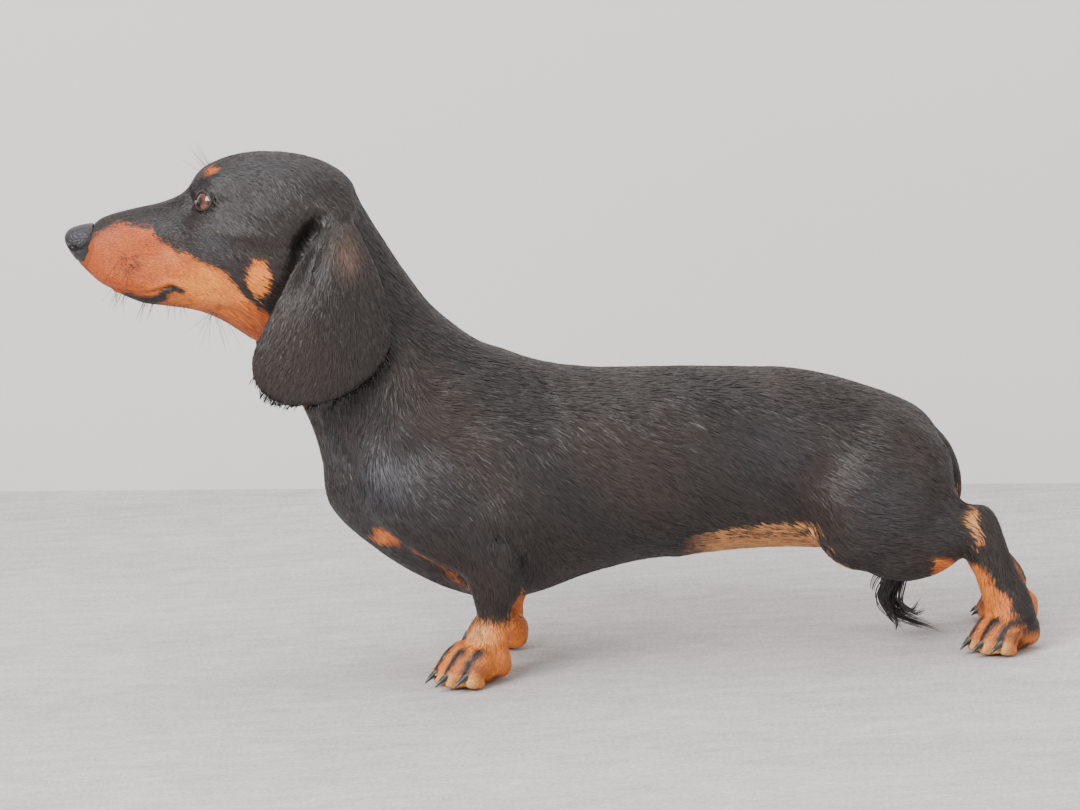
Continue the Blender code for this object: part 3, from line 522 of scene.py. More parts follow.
# %% Guides: place, direction and length of the hair in millimetres
GUIDES = np.array([
    # the head
    (-246, 8, 250, 1, 0, 0.1, 1.6), (-236, 15, 240, 1, 0.05, -0.1, 2.0),
    (-236, 12, 222, 1, 0.1, -0.35, 2.0), (-222, 0, 261, 1, 0, 0.1, 2.4),
    (-215, 19, 238, 1, 0, -0.15, 2.6), (-214, 18, 222, 1, 0, -0.4, 2.8),
    (-220, 10, 209, 1, 0, -0.1, 2.8), (-200, 10, 266, 1, 0.1, 0.35, 3.0),
    (-192, 0, 270, 0.9, 0, 0.7, 3.2), (-192, 22, 250, 1, 0.1, -0.5, 3.2),
    (-186, 26, 238, 0.9, 0.1, -0.5, 4.0), (-180, 12, 282, 0.8, 0.25, 0.5, 4.0),
    (-172, 28, 268, 0.7, 0.1, -0.6, 4.0), (-165, 33, 252, 0.7, 0.1, -0.8, 5.0),
    (-160, 0, 288, 1, 0, 0.05, 4.8), (-158, 24, 283, 0.9, 0.3, -0.3, 5.0),
    (-140, 34, 266, 0.5, 0.1, -0.9, 5.4), (-130, 20, 282, 0.8, 0.2, -0.5, 5.6),
    (-110, 0, 276, 0.8, 0, -0.6, 6.0), (-150, 37, 240, 0.6, 0, -0.8, 5.4),
    (-152, 34, 218, 0.8, 0, -0.6, 5.6), (-185, 18, 206, 1, 0, -0.3, 4.4),
    (-165, 10, 194, 0.8, 0, -0.6, 5.6), (-195, 0, 205, 1, 0, -0.1, 4.0),
    # the neck and breast
    (-95, 0, 250, 0.55, 0, -0.85, 7.5), (-105, 32, 240, 0.4, 0, -0.9, 7.0),
    (-75, 20, 220, 0.6, 0, -0.8, 8.5), (-110, 36, 205, 0.3, 0, -0.95, 8.0),
    (-152, 6, 180, 0.15, 0, -1, 7.5), (-130, 34, 175, 0.0, 0, -1, 8.5),
    (-90, 40, 180, 0.5, 0, -0.85, 9.0), (-60, 20, 196, 0.85, 0, -0.55, 9.0),
    (-138, 8, 145, 0.1, 0, -1, 8.0), (-95, 40, 143, -0.3, 0, -0.95, 9.0),
    (-104, 37, 128, -0.35, 0, -0.95, 8.5), (-101, 38, 112, 0.0, 0, -1, 8.5),
    (-86, 42, 130, 0.4, 0, -0.9, 9.0), (-78, 40, 158, 0.25, 0, -1, 9.0),
    (-118, 30, 140, -0.15, 0, -1, 8.5), (-128, 6, 112, 0.35, 0, -1, 8.0),
    (-112, 28, 108, 0.25, 0, -1, 8.0), (-112, 0, 84, 0.8, 0, -0.6, 8.0),
    (-90, 12, 62, 1, 0, -0.45, 8.0), (-96, 38, 158, -0.1, 0, -1, 9.0),
    # the shoulder and trunk
    (-78, 44, 140, 0.75, 0, -0.65, 9.0), (-60, 38, 165, 1, 0, -0.12, 9.0),
    (-52, 42, 148, 1, 0, -0.2, 9.0), (-88, 42, 112, 0.45, 0, -0.9, 8.5),
    (-62, 48, 115, 0.7, 0, -0.7, 9.0), (-62, 48, 88, 0.55, 0, -0.85, 8.0),
    (-36, 50, 84, 0.35, 0, -0.95, 8.0), (-30, 44, 150, 0.95, 0, -0.35, 9.5),
    (-40, 0, 178, 1, 0, -0.1, 9.5), (-20, 52, 110, 0.65, 0, -0.75, 9.5),
    (15, 30, 158, 1, 0, -0.25, 9.5), (15, 50, 120, 0.75, 0, -0.65, 9.5),
    (15, 48, 75, 0.75, 0, -0.65, 9.0), (0, 10, 40, 1, 0, -0.1, 8.0), (60, 0, 160, 1, 0, 0, 9.5),
    (65, 42, 130, 0.85, 0, -0.5, 9.5), (65, 46, 95, 0.8, 0, -0.6, 9.5),
    (70, 30, 60, 0.95, 0, -0.4, 9.0), (70, 0, 52, 1, 0, 0, 8.0), (110, 0, 158, 1, 0, -0.02, 9.5),
    (115, 38, 130, 0.85, 0, -0.5, 9.5), (115, 40, 95, 0.75, 0, -0.65, 9.0),
    (120, 25, 62, 0.9, 0, -0.4, 8.5), (140, 38, 78, 0.75, 0, -0.65, 8.5),
    (150, 20, 150, 1, 0, -0.15, 9.0), (152, 44, 112, 0.8, 0, -0.6, 9.0),
    (180, 0, 142, 0.95, 0, -0.4, 9.0), (175, 48, 95, 0.95, 0, -0.3, 9.0),
    (175, 46, 70, 1, 0, -0.15, 8.5), (195, 25, 128, 0.8, 0, -0.6, 8.5),
    (203, 40, 98, 0.9, 0, -0.35, 8.5), (212, 20, 108, 0.35, 0, -0.95, 8.0),
    (215, 6, 92, 0.1, 0, -1, 7.0), (195, 44, 62, 1, 0, -0.05, 8.0), (185, 12, 80, 0.5, 0, -0.85, 7.0),
    (190, 34, 50, 1, 0, 0.05, 7.5),
    # the forelegs
    (-40, 56, 62, 0.25, 0, -1, 6.5), (-50, 50, 52, 0.1, 0, -1, 6.0), (-24, 46, 56, 0.25, 0.1, -1, 7.0),
    (-38, 32, 56, 0.05, 0, -1, 6.0), (-50, 45, 32, -0.25, 0.1, -1, 4.6),
    (-32, 46, 32, 0.05, 0.1, -1, 5.6), (-34, 50, 16, -0.05, 0.1, -1, 4.6),
    (-60, 46, 18, -0.85, 0.25, -0.5, 3.8), (-72, 52, 10, -0.85, 0.3, -0.5, 3.0),
    (-76, 40, 10, -0.9, 0.1, -0.5, 3.0), (-52, 60, 10, -0.5, 0.4, -0.75, 3.4),
    (-56, 30, 12, -0.8, -0.2, -0.6, 3.2),
    # the hind legs
    (215, 42, 70, 0.9, 0, -0.4, 7.5), (230, 42, 76, 0.6, 0, -0.8, 6.5), (240, 38, 66, 0.25, 0, -1, 6.5),
    (230, 44, 52, 0.2, 0, -1, 6.5), (222, 36, 46, 0.2, 0, -1, 5.5), (248, 38, 40, 0.3, 0, -1, 6.0),
    (236, 46, 30, 0.0, 0.1, -1, 5.0), (226, 42, 22, -0.8, 0.2, -0.6, 4.0),
    (254, 38, 16, 0.15, 0, -1, 5.0), (214, 50, 10, -0.85, 0.3, -0.5, 3.0),
    (212, 38, 10, -0.9, 0.1, -0.5, 3.0), (238, 54, 10, -0.5, 0.4, -0.75, 3.4),
    # the tail
    (200, 9, 114, 0.8, 0, -0.6, 7.0), (218, 7, 92, 0, 0, -1, 7.5), (216, 6, 72, -0.2, 0, -1, 8.0),
    (206, 5, 54, -0.6, 0, -0.8, 9.0), (192, 3, 39, -0.6, 0, -0.8, 10.0),
], float)


def comb(points, normals, ears):
    """Direction along the skin, and length in millimetres, of the hair at each point."""
    p = folded(points)
    side = np.where(own(points)[:, 1] > 0, 1.0, -1.0)
    flow, length, total = np.zeros((len(p), 3)), np.zeros(len(p)), np.zeros(len(p))
    for row in GUIDES:
        weight = 1 / (((p - row[:3]) ** 2).sum(axis=1) + 9) ** 2.2
        flow += weight[:, None] * row[3:6] / np.linalg.norm(row[3:6])
        length += weight * row[6]
        total += weight
    flow /= total[:, None]
    flow[:, 1] *= side
    spread = np.clip((p[:, 0] + 112) * 0.016, -0.6, 0.4)  # an ear's hair fans out downwards
    fan = np.column_stack([spread, np.zeros(len(p)), -np.ones(len(p))])
    flow = np.where(ears[:, None] > 0, fan, flow)
    length = np.where(ears > 0, 6.2 - 1.6 * ramp(p[:, 2], 235, 255), length / total)
    swirl = np.cross(normals, flow)
    flow += swirl * (waves(p, 30, 8) * 0.13 + waves(p, 11, 9) * 0.09)[:, None]
    flow -= normals * (flow * normals).sum(axis=1)[:, None]
    return flow / (np.linalg.norm(flow, axis=1)[:, None] + 1e-9), length


# %% [markdown]
# ## Planting the tufts
#
# Short fur lies flat and shows as fine overlapping strands. Each tuft here is a slim
# closed wedge: a point in the skin, two points across its middle and a point at its tip.
# That is four triangles, so hundreds of thousands of them fit. The middle and the tip are
# set down on the skin again after a step along the lie of the coat, so that tufts follow
# the body round. Past an edge, such as an ear's, the tip hangs free.

# %% Plant them
COVER = 2.4  # how many tufts lie over each spot
HOLD = 0.30  # how far a tuft's end may be from the skin and still lie on it, as a share of its length
FREE_TIP = 0.45  # how much of its last half shows where the skin has ended


def bare(points):
    """True where no hair grows: on the nose, eyes, pads and in the mouth."""
    p = folded(points)
    nose = close_to(points, ["nose"], 1.9 * MM) > 0
    gap, away = lid_gap(p)
    eye = (gap < 0.8) & (away < 17)
    pads = p[:, 2] < 2.2
    mouth = (line_distance(p, MOUTH) < 0.7) & (p[:, 0] > -237)
    return nose | eye | pads | mouth


corners = skin_points[skin_faces]
middles = corners.mean(axis=1)
face_normals = skin_normals[skin_faces].mean(axis=1)
face_ears = ear_share(middles)
_, face_length = comb(middles, face_normals, face_ears)


def width_for(length):
    """Long hair bunches into wider tufts."""
    return np.clip(0.24 + 0.034 * length, 0.31, 0.56)


wanted = COVER * areas_of(corners) / (0.5 * face_length * width_for(face_length))
counts = np.floor(wanted + random.random(len(wanted))).astype(int)
owner = np.repeat(np.arange(len(counts)), counts)
share = random.random((len(owner), 2))
over = share.sum(axis=1) > 1
share[over] = 1 - share[over]
share = np.column_stack([1 - share.sum(axis=1), share])
roots = (corners[owner] * share[:, :, None]).sum(axis=1)
kept = ~bare(roots)
owner, share, roots = owner[kept], share[kept], roots[kept]
root_normals = (skin_normals[skin_faces[owner]] * share[:, :, None]).sum(axis=1)
root_normals /= np.linalg.norm(root_normals, axis=1)[:, None]
root_ears = face_ears[owner]
tell("tufts:", len(roots))

# %% Lay each one along the body
skin_tree = BVHTree.FromPolygons(skin_points.tolist(), skin_faces.tolist())


def set_down(guesses, reach):
    """The nearest skin to each guess and its normal, or the guess where the skin has ended."""
    spots, ups = guesses.copy(), np.zeros_like(guesses)
    found_at = np.zeros(len(guesses), bool)
    for i, guess in enumerate(guesses.tolist()):
        spot, up, _, _ = skin_tree.find_nearest(guess, reach[i])
        if spot is not None:
            spots[i] = spot
            ups[i] = up
            found_at[i] = True
    return spots, ups, found_at


flow, length = comb(roots, root_normals, root_ears)
length *= random.normal(1, 0.16, len(length)).clip(0.6, 1.5)
aside = np.cross(root_normals, flow)
flow += aside * random.normal(0, 0.07, len(flow))[:, None]
half = 0.5 * length[:, None] * MM
mid_spots, mid_ups, mid_found = set_down(roots + flow * half, HOLD * length * MM)
mid_ups[~mid_found] = root_normals[~mid_found]
mid_flow, _ = comb(mid_spots, mid_ups, root_ears)
mid_flow += aside * random.normal(0, 0.07, len(flow))[:, None]
tip_spots, tip_ups, tip_found = set_down(mid_spots + mid_flow * half, HOLD * length * MM)
tip_ups[~tip_found] = mid_ups[~tip_found]
tip_spots[~tip_found] = mid_spots[~tip_found] + (mid_flow * half)[~tip_found] * FREE_TIP
tell("laid:", int((~tip_found).sum()), "tips hang free")

# %% [markdown]
# ## From paths to tufts
#
# One tuft is modelled as the convex hull of its four points, only to get its faces in the
# right order. Arrays then copy it to every root. A strand of hair shines like a rod, so
# each tuft's shading turns a little from its left edge to its right one.
#
# The export bakes each piece's colours into an image, so each tuft also needs a place on
# it. The skin is unwrapped, and a tuft takes a tiny patch at its root's place there.

# %% Unwrap the skin
skin = show("skin", skin_mesh)
bpy.context.view_layer.objects.active = skin
skin.select_set(True)
bpy.ops.object.mode_set(mode="EDIT")
bpy.ops.mesh.select_all(action="SELECT")
bpy.ops.uv.smart_project(angle_limit=math.radians(66), island_margin=0.002)
bpy.ops.object.mode_set(mode="OBJECT")
skin.data.uv_layers[0].name = "OFBake"
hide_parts(*FLESH, "tail")
skin_uv = numbers(skin.data.uv_layers["OFBake"].data, "uv", 2).reshape(-1, 3, 2)
tell("unwrapped")

# %% The tuft that is copied
pattern = bmesh.new()
for spot in ((-1, 0, 1), (1, 0, 1), (0, -4, 0), (0, 4, 0)):  # left, right, root and tip
    pattern.verts.new(spot)
bmesh.ops.convex_hull(pattern, input=pattern.verts)
bmesh.ops.recalc_face_normals(pattern, faces=pattern.faces)
pattern.verts.index_update()
TUFT_FACES = np.array([[v.index for v in face.verts] for face in pattern.faces])
print("one tuft:", len(pattern.verts), "points,", len(TUFT_FACES), "faces")
pattern.free()

# %% Points and shading of every tuft
LOFT = ((2, 4.5, 9.5), (0.28, 0.5, 0.95))  # length of the hair, and how high it may stand
depth_here = np.interp(length, *LOFT) * np.where(root_ears > 0, 0.8, 1)
width = width_for(length) * random.normal(1, 0.15, len(length)).clip(0.6, 1.5)
mid_lift = (depth_here * random.uniform(0.35, 0.7, len(length)))[:, None] * MM
tip_lift = (depth_here * random.uniform(0.3, 0.9, len(length)))[:, None] * MM
wide = np.cross(flow, mid_ups)
wide /= np.linalg.norm(wide, axis=1)[:, None]
middle = mid_spots + mid_ups * mid_lift
tufts = np.empty((len(roots), 4, 3))
tufts[:, 0] = middle - wide * (width * 0.5)[:, None] * MM
tufts[:, 1] = middle + wide * (width * 0.5)[:, None] * MM
tufts[:, 2] = roots - root_normals * 0.3 * MM
tufts[:, 3] = tip_spots + tip_ups * tip_lift
sides = tufts[:, 1:] - tufts[:, :1]
flipped = np.einsum("ij,ij->i", np.cross(sides[:, 0], sides[:, 1]), sides[:, 2]) < 0
print("tufts turned round where the skin is hollow:", round(flipped.mean(), 3))
tufts[flipped] = tufts[flipped][:, (1, 0, 2, 3)]
tilt = random.normal(0, 0.13, (2, len(roots)))
shine = np.empty_like(tufts)
for k, (up, turn) in enumerate(((mid_ups, -0.5), (mid_ups, 0.5), (root_normals, 0), (tip_ups, 0))):
    turn = np.where(flipped, -turn, turn) + tilt[0]
    shine[:, k] = up + wide * turn[:, None] + flow * tilt[1][:, None]
shine /= np.linalg.norm(shine, axis=2)[:, :, None]

# %% [markdown]
# ## Colour of each tuft
#
# No two hairs are the same. Each tuft takes a shade of its own between dark and light, and
# is darker at its root and paler at its tip. Tan runs from rust on the muzzle to gold on
# the cheek and cream on the toes. On the toes the black comes back as short pencil marks.

# %% Colours
BLACK = np.array([0.0125, 0.0098, 0.0094])
BROWN = np.array([0.046, 0.030, 0.023])
PAINTED_SHEEN_BLUE = np.array([0.036, 0.035, 0.042])
RUST = np.array([0.50, 0.095, 0.014])
GOLD = np.array([0.90, 0.27, 0.036])
CREAM = np.array([0.92, 0.52, 0.20])
EAR_RUST = np.array([0.17, 0.095, 0.065])
LID = np.array([0.045, 0.034, 0.034])
TINTS = np.array([0.98, 0.98, 0.6, 1.2])  # a tuft's shade at its left, right, root and tip


def mixed(a, b, share):
    return a * (1 - share[:, None]) + b * share[:, None]


# Each paw's place, how far it is turned out, its size and its side of the dog.
PAWS = ((-50, 45, 28, 1.03, -1), (-33, 36, 50, 0.93, 1), (240, 38.5, 24, 0.98, -1), (255, 30, 48, 0.88, 1))
# Each toe's place forwards and outwards in the paw, and its length.
TOES = ((2.5, -12.6, 12.5), (8.5, -5.2, 14.5), (8.5, 5.2, 14.5), (2.5, 12.6, 12.5))
# Black on a paw apart from its toes: a spot, its reach and how much.
SMUDGES = (((7, 11, 13), (6, 7, 5), 1.0), ((-8, 13, 4.5), (5, 6, 4), 1.0), ((-1, 5, 30), (2.5, 5, 6), 0.55))


def paw_marks(points):
    """How black and how pale the toes are: pencil marks on the knuckles, cream on the tips."""
    q = own(points)
    dark, pale = np.zeros(len(q)), np.zeros(len(q))
    for x, y, turn_out, size, side in PAWS:
        c, s = math.cos(math.radians(turn_out)), math.sin(math.radians(turn_out))
        dx, dy = -(q[:, 0] - x), side * (q[:, 1] - side * y)
        local = np.column_stack([dx * c + dy * s, dy * c - dx * s, q[:, 2]]) / size
        for forward, outward, reach in TOES:
            tip = forward + reach - 2
            along = ((forward + 1, outward, 20.5), (forward + 6, outward, 18.5), (tip, outward * 1.03, 12))
            dark = np.maximum(dark, on_line(local, along, 3.9 if outward > 0 else 3.2))
            for edge in (-2.8, 2.8):
                beside = bump_at(local, (tip, outward * 1.04 + edge, 5), (5.5, 2.6, 4.5))
                pale = np.maximum(pale, beside)
        for spot, spread, share in SMUDGES:
            dark = np.maximum(dark, share * bump_at(local, spot, spread))
    return dark, pale


# Where a bluish sheen is painted on the black, and where shade is painted deepest on it: a spot, its reach
# and how much.
SHEEN = (
    ((-97, 40, 116), (22, 30, 26), 0.8), ((-178, 26, 243), (11, 20, 8), 0.7),
    ((-150, 20, 282), (24, 24, 8), 0.5), ((168, 46, 84), (14, 22, 20), 0.6),
    ((110, 40, 122), (20, 24, 20), 0.45), ((-120, 20, 130), (6, 20, 20), 0.5),
)
PAINTED_SHADE = (
    ((-163, 30, 266), (14, 14, 8), 0.6), ((-127, 34, 243), (9, 14, 12), 0.6),
    ((-205, 16, 256), (16, 20, 7), 0.35), ((-104, 36, 160), (30, 20, 9), 0.45),
    ((-20, 30, 48), (60, 40, 12), 0.35), ((216, 20, 100), (14, 16, 20), 0.4),
)
# The black edge of the lips, below the front of the mouth and at its corner, in x and z.
LOWER_LIP = ((-228, 214.6), (-222, 212), (-214.7, 211.5), (-209, 214))
LIP_CORNER = ((-210, 215.5), (-205, 218), (-202.5, 218.8), (-198.5, 217.4))


def coat_colours(points, normals, ears, jitter):
    """Colour at each point, and how tan it is."""
    p = folded(points)
    tan = tan_share(points, normals, jitter) * (ears == 0)
    dark, pale = paw_marks(points)
    gold = bump_at(p, (-184, 22, 220), (22, 40, 14)) + bump_at(p, (-157, 34, 226), (8, 14, 12))
    gold += 0.55 * (p[:, 2] < 62) + 0.4 * bump_at(p, (-97, 30, 84), (20, 30, 12))
    light = mixed(RUST, GOLD, np.clip(gold + waves(p, 12, 21) * 0.14, 0, 1))
    belly = 0.5 * (np.abs(p[:, 0] - 110) < 50) * (p[:, 2] < 80)
    pale = np.maximum(pale, 0.6 * bump_at(p, (219, 44, 73), (9, 14, 12)) + belly)
    pale = np.maximum(pale, 0.55 * bump_at(p, (-46, 46, 30), (7, 10, 7)))
    light = mixed(light, CREAM, np.clip(pale + waves(p, 6, 25) * 0.12 * (pale > 0.1), 0, 1))
    flat = p[:, ::2]
    lips = np.maximum(on_line(flat, LOWER_LIP, 3.3), on_line(flat, LIP_CORNER, 2.0)) * (p[:, 1] > 4)
    streaky = waves(p * (0.5, 1, 1.2), 3.4, 23) + waves(p, 2.0, 24) * 0.6
    smudge = bump_at(p, (-224, 18, 233), (8, 14, 9)) * ramp(streaky, -0.5, 0.9)
    under_nose = bump_at(p, (-247, 0, 230), (4, 7, 4))
    dark = np.maximum(np.maximum(dark, lips * 1.2), np.maximum(0.7 * smudge, under_nose))
    dark = np.clip(dark * 1.6 - 0.4 + jitter * 0.2 + waves(p, 3, 26) * 0.12, 0, 1)
    tan = np.clip(tan - dark, 0, 1)
    warm = 0.30 + 0.2 * waves(p, 60, 22) + 0.1 * (ears > 0)
    shade = mixed(BLACK, BROWN, np.clip(warm + jitter * 0.18, 0, 1))
    # Painted sheen: the black is mixed towards a bluish grey where light glances off the coat.
    painted_sheen = np.zeros(len(p))
    for spot, reach, share in SHEEN:
        painted_sheen += share * bump_at(p, spot, reach)
    shade = mixed(shade, PAINTED_SHEEN_BLUE, np.clip(painted_sheen, 0, 1))
    # Painted shade: the black is darkened in hollows and undersides, at the temple, the ear's hollow, under
    # the ear, between the forelegs and under the tail.
    for spot, reach, share in PAINTED_SHADE:
        shade = shade * (1 - share * bump_at(p, spot, reach))[:, None]
    rusty = 0.6 * bump_at(p, (-107.5, 45, 237), (6, 20, 9)) * (ears > 0)
    shade = mixed(shade, EAR_RUST, rusty)
    return mixed(shade, light, tan), tan


jitter = random.normal(0, 0.55, len(roots)).clip(-1.5, 1.5)
colour, tan = coat_colours(roots, root_normals, root_ears, jitter)
colour *= np.exp(random.normal(0, 0.17, len(roots)))[:, None]
tuft_colours = np.clip(colour[:, None, :] * TINTS[None, :, None], 0, 1)
skin_ears = ear_share(skin_points)
skin_colour, _ = coat_colours(skin_points, skin_normals, skin_ears, np.zeros(len(skin_points)))
bare_lid, eye_away = lid_gap(folded(skin_points))
lid_colour = np.exp(-((np.maximum(bare_lid, 0) / 1.3) ** 2)) * (eye_away < 14)
# Painted shade: the skin is darker than the hair on it, as the shade under the coat.
skin_colour = mixed(skin_colour * 0.6, LID, lid_colour)
paint(skin.data, "coat", skin_colour)
tell("coloured")

# %% [markdown]
# ## Shader sums as Python sums
#
# A material is a graph of nodes. A small class stands for one socket of it, so that
# `1 - mask * 0.5` adds the Math nodes by itself, and one method adds any other node.

# %% A helper for materials
class Wire:
    """One output socket, which can be added, multiplied and subtracted."""

    def __init__(self, tree, socket):
        self.tree, self.socket = tree, socket

    def node(self, kind, settings=None, **values):
        node = self.tree.nodes.new(kind)
        for key, value in (settings or {}).items():
            if key == "stops":
                ramp_stops(node.color_ramp, value)
            else:
                setattr(node, key, value)
        for key, value in values.items():
            slot = key.replace("_", " ")
            by_number = slot[0] == "i" and slot[1:].isdigit()
            socket = node.inputs[int(slot[1:]) if by_number else slot]
            if isinstance(value, Wire):
                self.tree.links.new(value.socket, socket)
            else:
                socket.default_value = value
        return Wire(self.tree, node.outputs[0])

    def out(self, name):
        return Wire(self.tree, self.socket.node.outputs[name])

    def noise(self, scale, detail=2.0):
        return self.node("ShaderNodeTexNoise", Vector=self, Scale=scale, Detail=detail)

    def attribute(self, name):
        return self.node("ShaderNodeAttribute", {"attribute_name": name})

    def math(self, operation, a, b):
        return self.node("ShaderNodeMath", {"operation": operation}, i0=a, i1=b)

    def __add__(self, other):
        return self.math("ADD", self, other)

    def __sub__(self, other):
        return self.math("SUBTRACT", self, other)

    def __rsub__(self, other):
        return self.math("SUBTRACT", other, self)

    def __mul__(self, other):
        return self.math("MULTIPLY", self, other)

    __radd__, __rmul__ = __add__, __mul__

    def mix(self, a, b):
        """Colour a where this is 0, colour b where it is 1."""
        mixer = self.node("ShaderNodeMix", {"data_type": "RGBA"}, i0=self, i6=a, i7=b)
        return mixer.out("Result")


def ramp_stops(colour_ramp, stops):
    while len(colour_ramp.elements) < len(stops):
        colour_ramp.elements.new(0.5)
    for element, (position, colour) in zip(colour_ramp.elements, stops):
        element.position, element.color = position, (*colour, 1)


def new_material(name, **plain):
    """A Principled material: its plain numbers are set, and its shader comes back with a wire."""
    material = bpy.data.materials.new(name)
    material.use_nodes = True
    shader = material.node_tree.nodes["Principled BSDF"]
    for key, value in plain.items():
        shader.inputs[key.replace("_", " ")].default_value = value
    tree = material.node_tree
    coords = Wire(tree, tree.nodes.new("ShaderNodeTexCoord").outputs["Object"])
    return material, shader, coords


def feed(shader, name, wire):
    wire.tree.links.new(wire.socket, shader.inputs[name])


def feed_bump(shader, height, distance, strength, **settings):
    """Relief from a wire of heights."""
    values = {"Height": height, "Distance": distance, "Strength": strength}
    feed(shader, "Normal", height.node("ShaderNodeBump", settings, **values))


# %% [markdown]
# ## Finish of the coat
#
# Healthy short hair is glossy along its length. The tufts carry their own colour as an
# attribute, and the shader adds a medium gloss that fine noise breaks up. The skin below
# has the same colours, darkened as painted shade under the coat, with a grain of fine hair
# in its bump.

# %% Coat and skin materials
def coat_material(name, roughness, sheen):
    plain = {"Sheen_Weight": sheen, "Sheen_Roughness": 0.4, "Specular_IOR_Level": 0.5}
    material, shader, coords = new_material(name, **plain)
    feed(shader, "Base Color", coords.attribute("coat"))
    feed(shader, "Roughness", coords.noise(260.0) * 0.22 + (roughness - 0.11))
    return material


black_coat = coat_material("black_coat", 0.42, 0.05)
tan_coat = coat_material("tan_coat", 0.50, 0.04)
skin_material, shader, coords = new_material("skin", Specular_IOR_Level=0.4)
feed(shader, "Base Color", coords.attribute("coat"))
hairs = coords.noise(900.0, 3.0)
feed(shader, "Roughness", hairs * 0.2 + 0.45)
feed_bump(shader, hairs, 0.0004, 0.8)
skin.data.materials.append(skin_material)

# %% [markdown]
# ## The coat in pieces
#
# A piece stays under 200,000 triangles, so the coat is shared out by place: black hair by
# part of the body, and tan hair on the face and on the legs.

# %% Share out the tufts
p = folded(roots)
region = np.full(len(roots), "rump", dtype=object)
for name, edge in (("loin", 150), ("ribs", 90), ("flank", 30), ("shoulder", -35), ("breast", -85)):
    region[p[:, 0] < edge] = name
region[(p[:, 2] < 84) & (p[:, 0] > 160)] = "hind_legs"
region[(p[:, 2] < 60) & (np.abs(p[:, 0] + 45) < 45) & (p[:, 1] > 24)] = "forelegs"
region[(p[:, 0] < -50) & (p[:, 2] > 150)] = "neck"
region[(p[:, 0] < -100) & (p[:, 2] > 200)] = "skull"
region[(p[:, 0] < -168) & (p[:, 2] > 180)] = "face"
region[root_ears > 0] = "ears"
tan_region = np.where((p[:, 0] < -130) & (p[:, 2] > 150), "tan_face", "tan_body")
region = np.where(tan > 0.5, tan_region, region)
UV_SPREAD = np.array([(-0.0012, 0), (0.0012, 0), (0, -0.0014), (0, 0.0016)])
root_uv = (skin_uv[owner] * share[:, :, None]).sum(axis=1)
MOST_TUFTS = 49000  # in one piece, at four triangles each


def coat_piece(name, chosen, material):
    """One closed mesh of many tufts, with their colours and their places on the unwrap."""
    count = len(chosen)
    faces = (TUFT_FACES[None] + 4 * np.arange(count)[:, None, None]).reshape(-1, 3)
    mesh = mesh_of(name, tufts[chosen].reshape(-1, 3), faces)
    mesh.normals_split_custom_set_from_vertices(shine[chosen].reshape(-1, 3))
    paint(mesh, "coat", tuft_colours[chosen].reshape(-1, 3))
    layer = mesh.uv_layers.new(name="OFBake")
    uv = (root_uv[chosen][:, None, :] + UV_SPREAD[None]).reshape(-1, 2)
    layer.data.foreach_set("uv", uv[faces.ravel()].astype(np.float32).ravel())
    obj = show(name, mesh, material)
    return obj


for name in sorted(set(region)):
    chosen = np.nonzero(region == name)[0]
    material = tan_coat if name.startswith("tan") else black_coat
    parts = math.ceil(len(chosen) / MOST_TUFTS)
    order = np.argsort(own(roots[chosen])[:, 1], kind="stable")
    for k, piece in enumerate(np.array_split(chosen[order], parts), 1):
        coat_piece(f"coat_{name}" + (f"_{k}" if parts > 1 else ""), piece, material)
    print(f"coat_{name}: {len(chosen)} tufts in {parts}")

# %% [markdown]
# ## The eyes
#
# A dog's eye is nearly all iris. The ball is a sphere whose front bulges a little, as the
# cornea does. Each point knows its angle from the gaze, and a ramp over that angle paints
# the pupil, the brown iris, its dark rim and the white. A thin wet coat gives the light in
# it. The lids' edges are a dark wet rim round the opening, with a small pink piece of flesh
# in the inner corner.

# %% Eyeballs and lids
def on_eye(side, u, v, radius):
    """A place over the eyeball: u towards the nose and v up."""
    x, y, z = np.array(EYE) + np.array((u, v, math.sqrt(radius**2 - u * u - v * v))) @ LID_AXES
    return place(x, side * y, z)


EYE_STOPS = (  # the pupil, the iris, its dark rim and the white, by share of a right angle
    (0.0, (0.002, 0.002, 0.002)), (0.13, (0.003, 0.002, 0.002)), (0.18, (0.055, 0.016, 0.009)),
    (0.32, (0.15, 0.048, 0.026)), (0.42, (0.07, 0.022, 0.013)), (0.48, (0.012, 0.006, 0.005)),
    (0.55, (0.34, 0.25, 0.25)), (0.9, (0.30, 0.16, 0.15)),
)
wet = {"Roughness": 0.12, "Coat_Weight": 1.0, "Coat_Roughness": 0.03, "IOR": 1.38}
eye_material, shader, coords = new_material("eye", **wet)
angle = coords.attribute("gaze").out("Fac") + (coords.noise(1800.0) - 0.5) * 0.05
feed(shader, "Base Color", angle.node("ShaderNodeValToRGB", {"stops": EYE_STOPS}, Fac=angle))
rim_colour = (0.022, 0.014, 0.013, 1)
rim_material, shader, coords = new_material("lid_rim", Base_Color=rim_colour, Specular_IOR_Level=0.6)
grain = coords.noise(1500.0)
feed(shader, "Roughness", grain * 0.3 + 0.2)
feed_bump(shader, grain, 0.0002, 0.4)
corner_material, shader, coords = new_material("eye_corner", Roughness=0.25)
pink = coords.noise(1200.0).mix((0.10, 0.05, 0.045, 1), (0.30, 0.18, 0.17, 1))
feed(shader, "Base Color", pink)

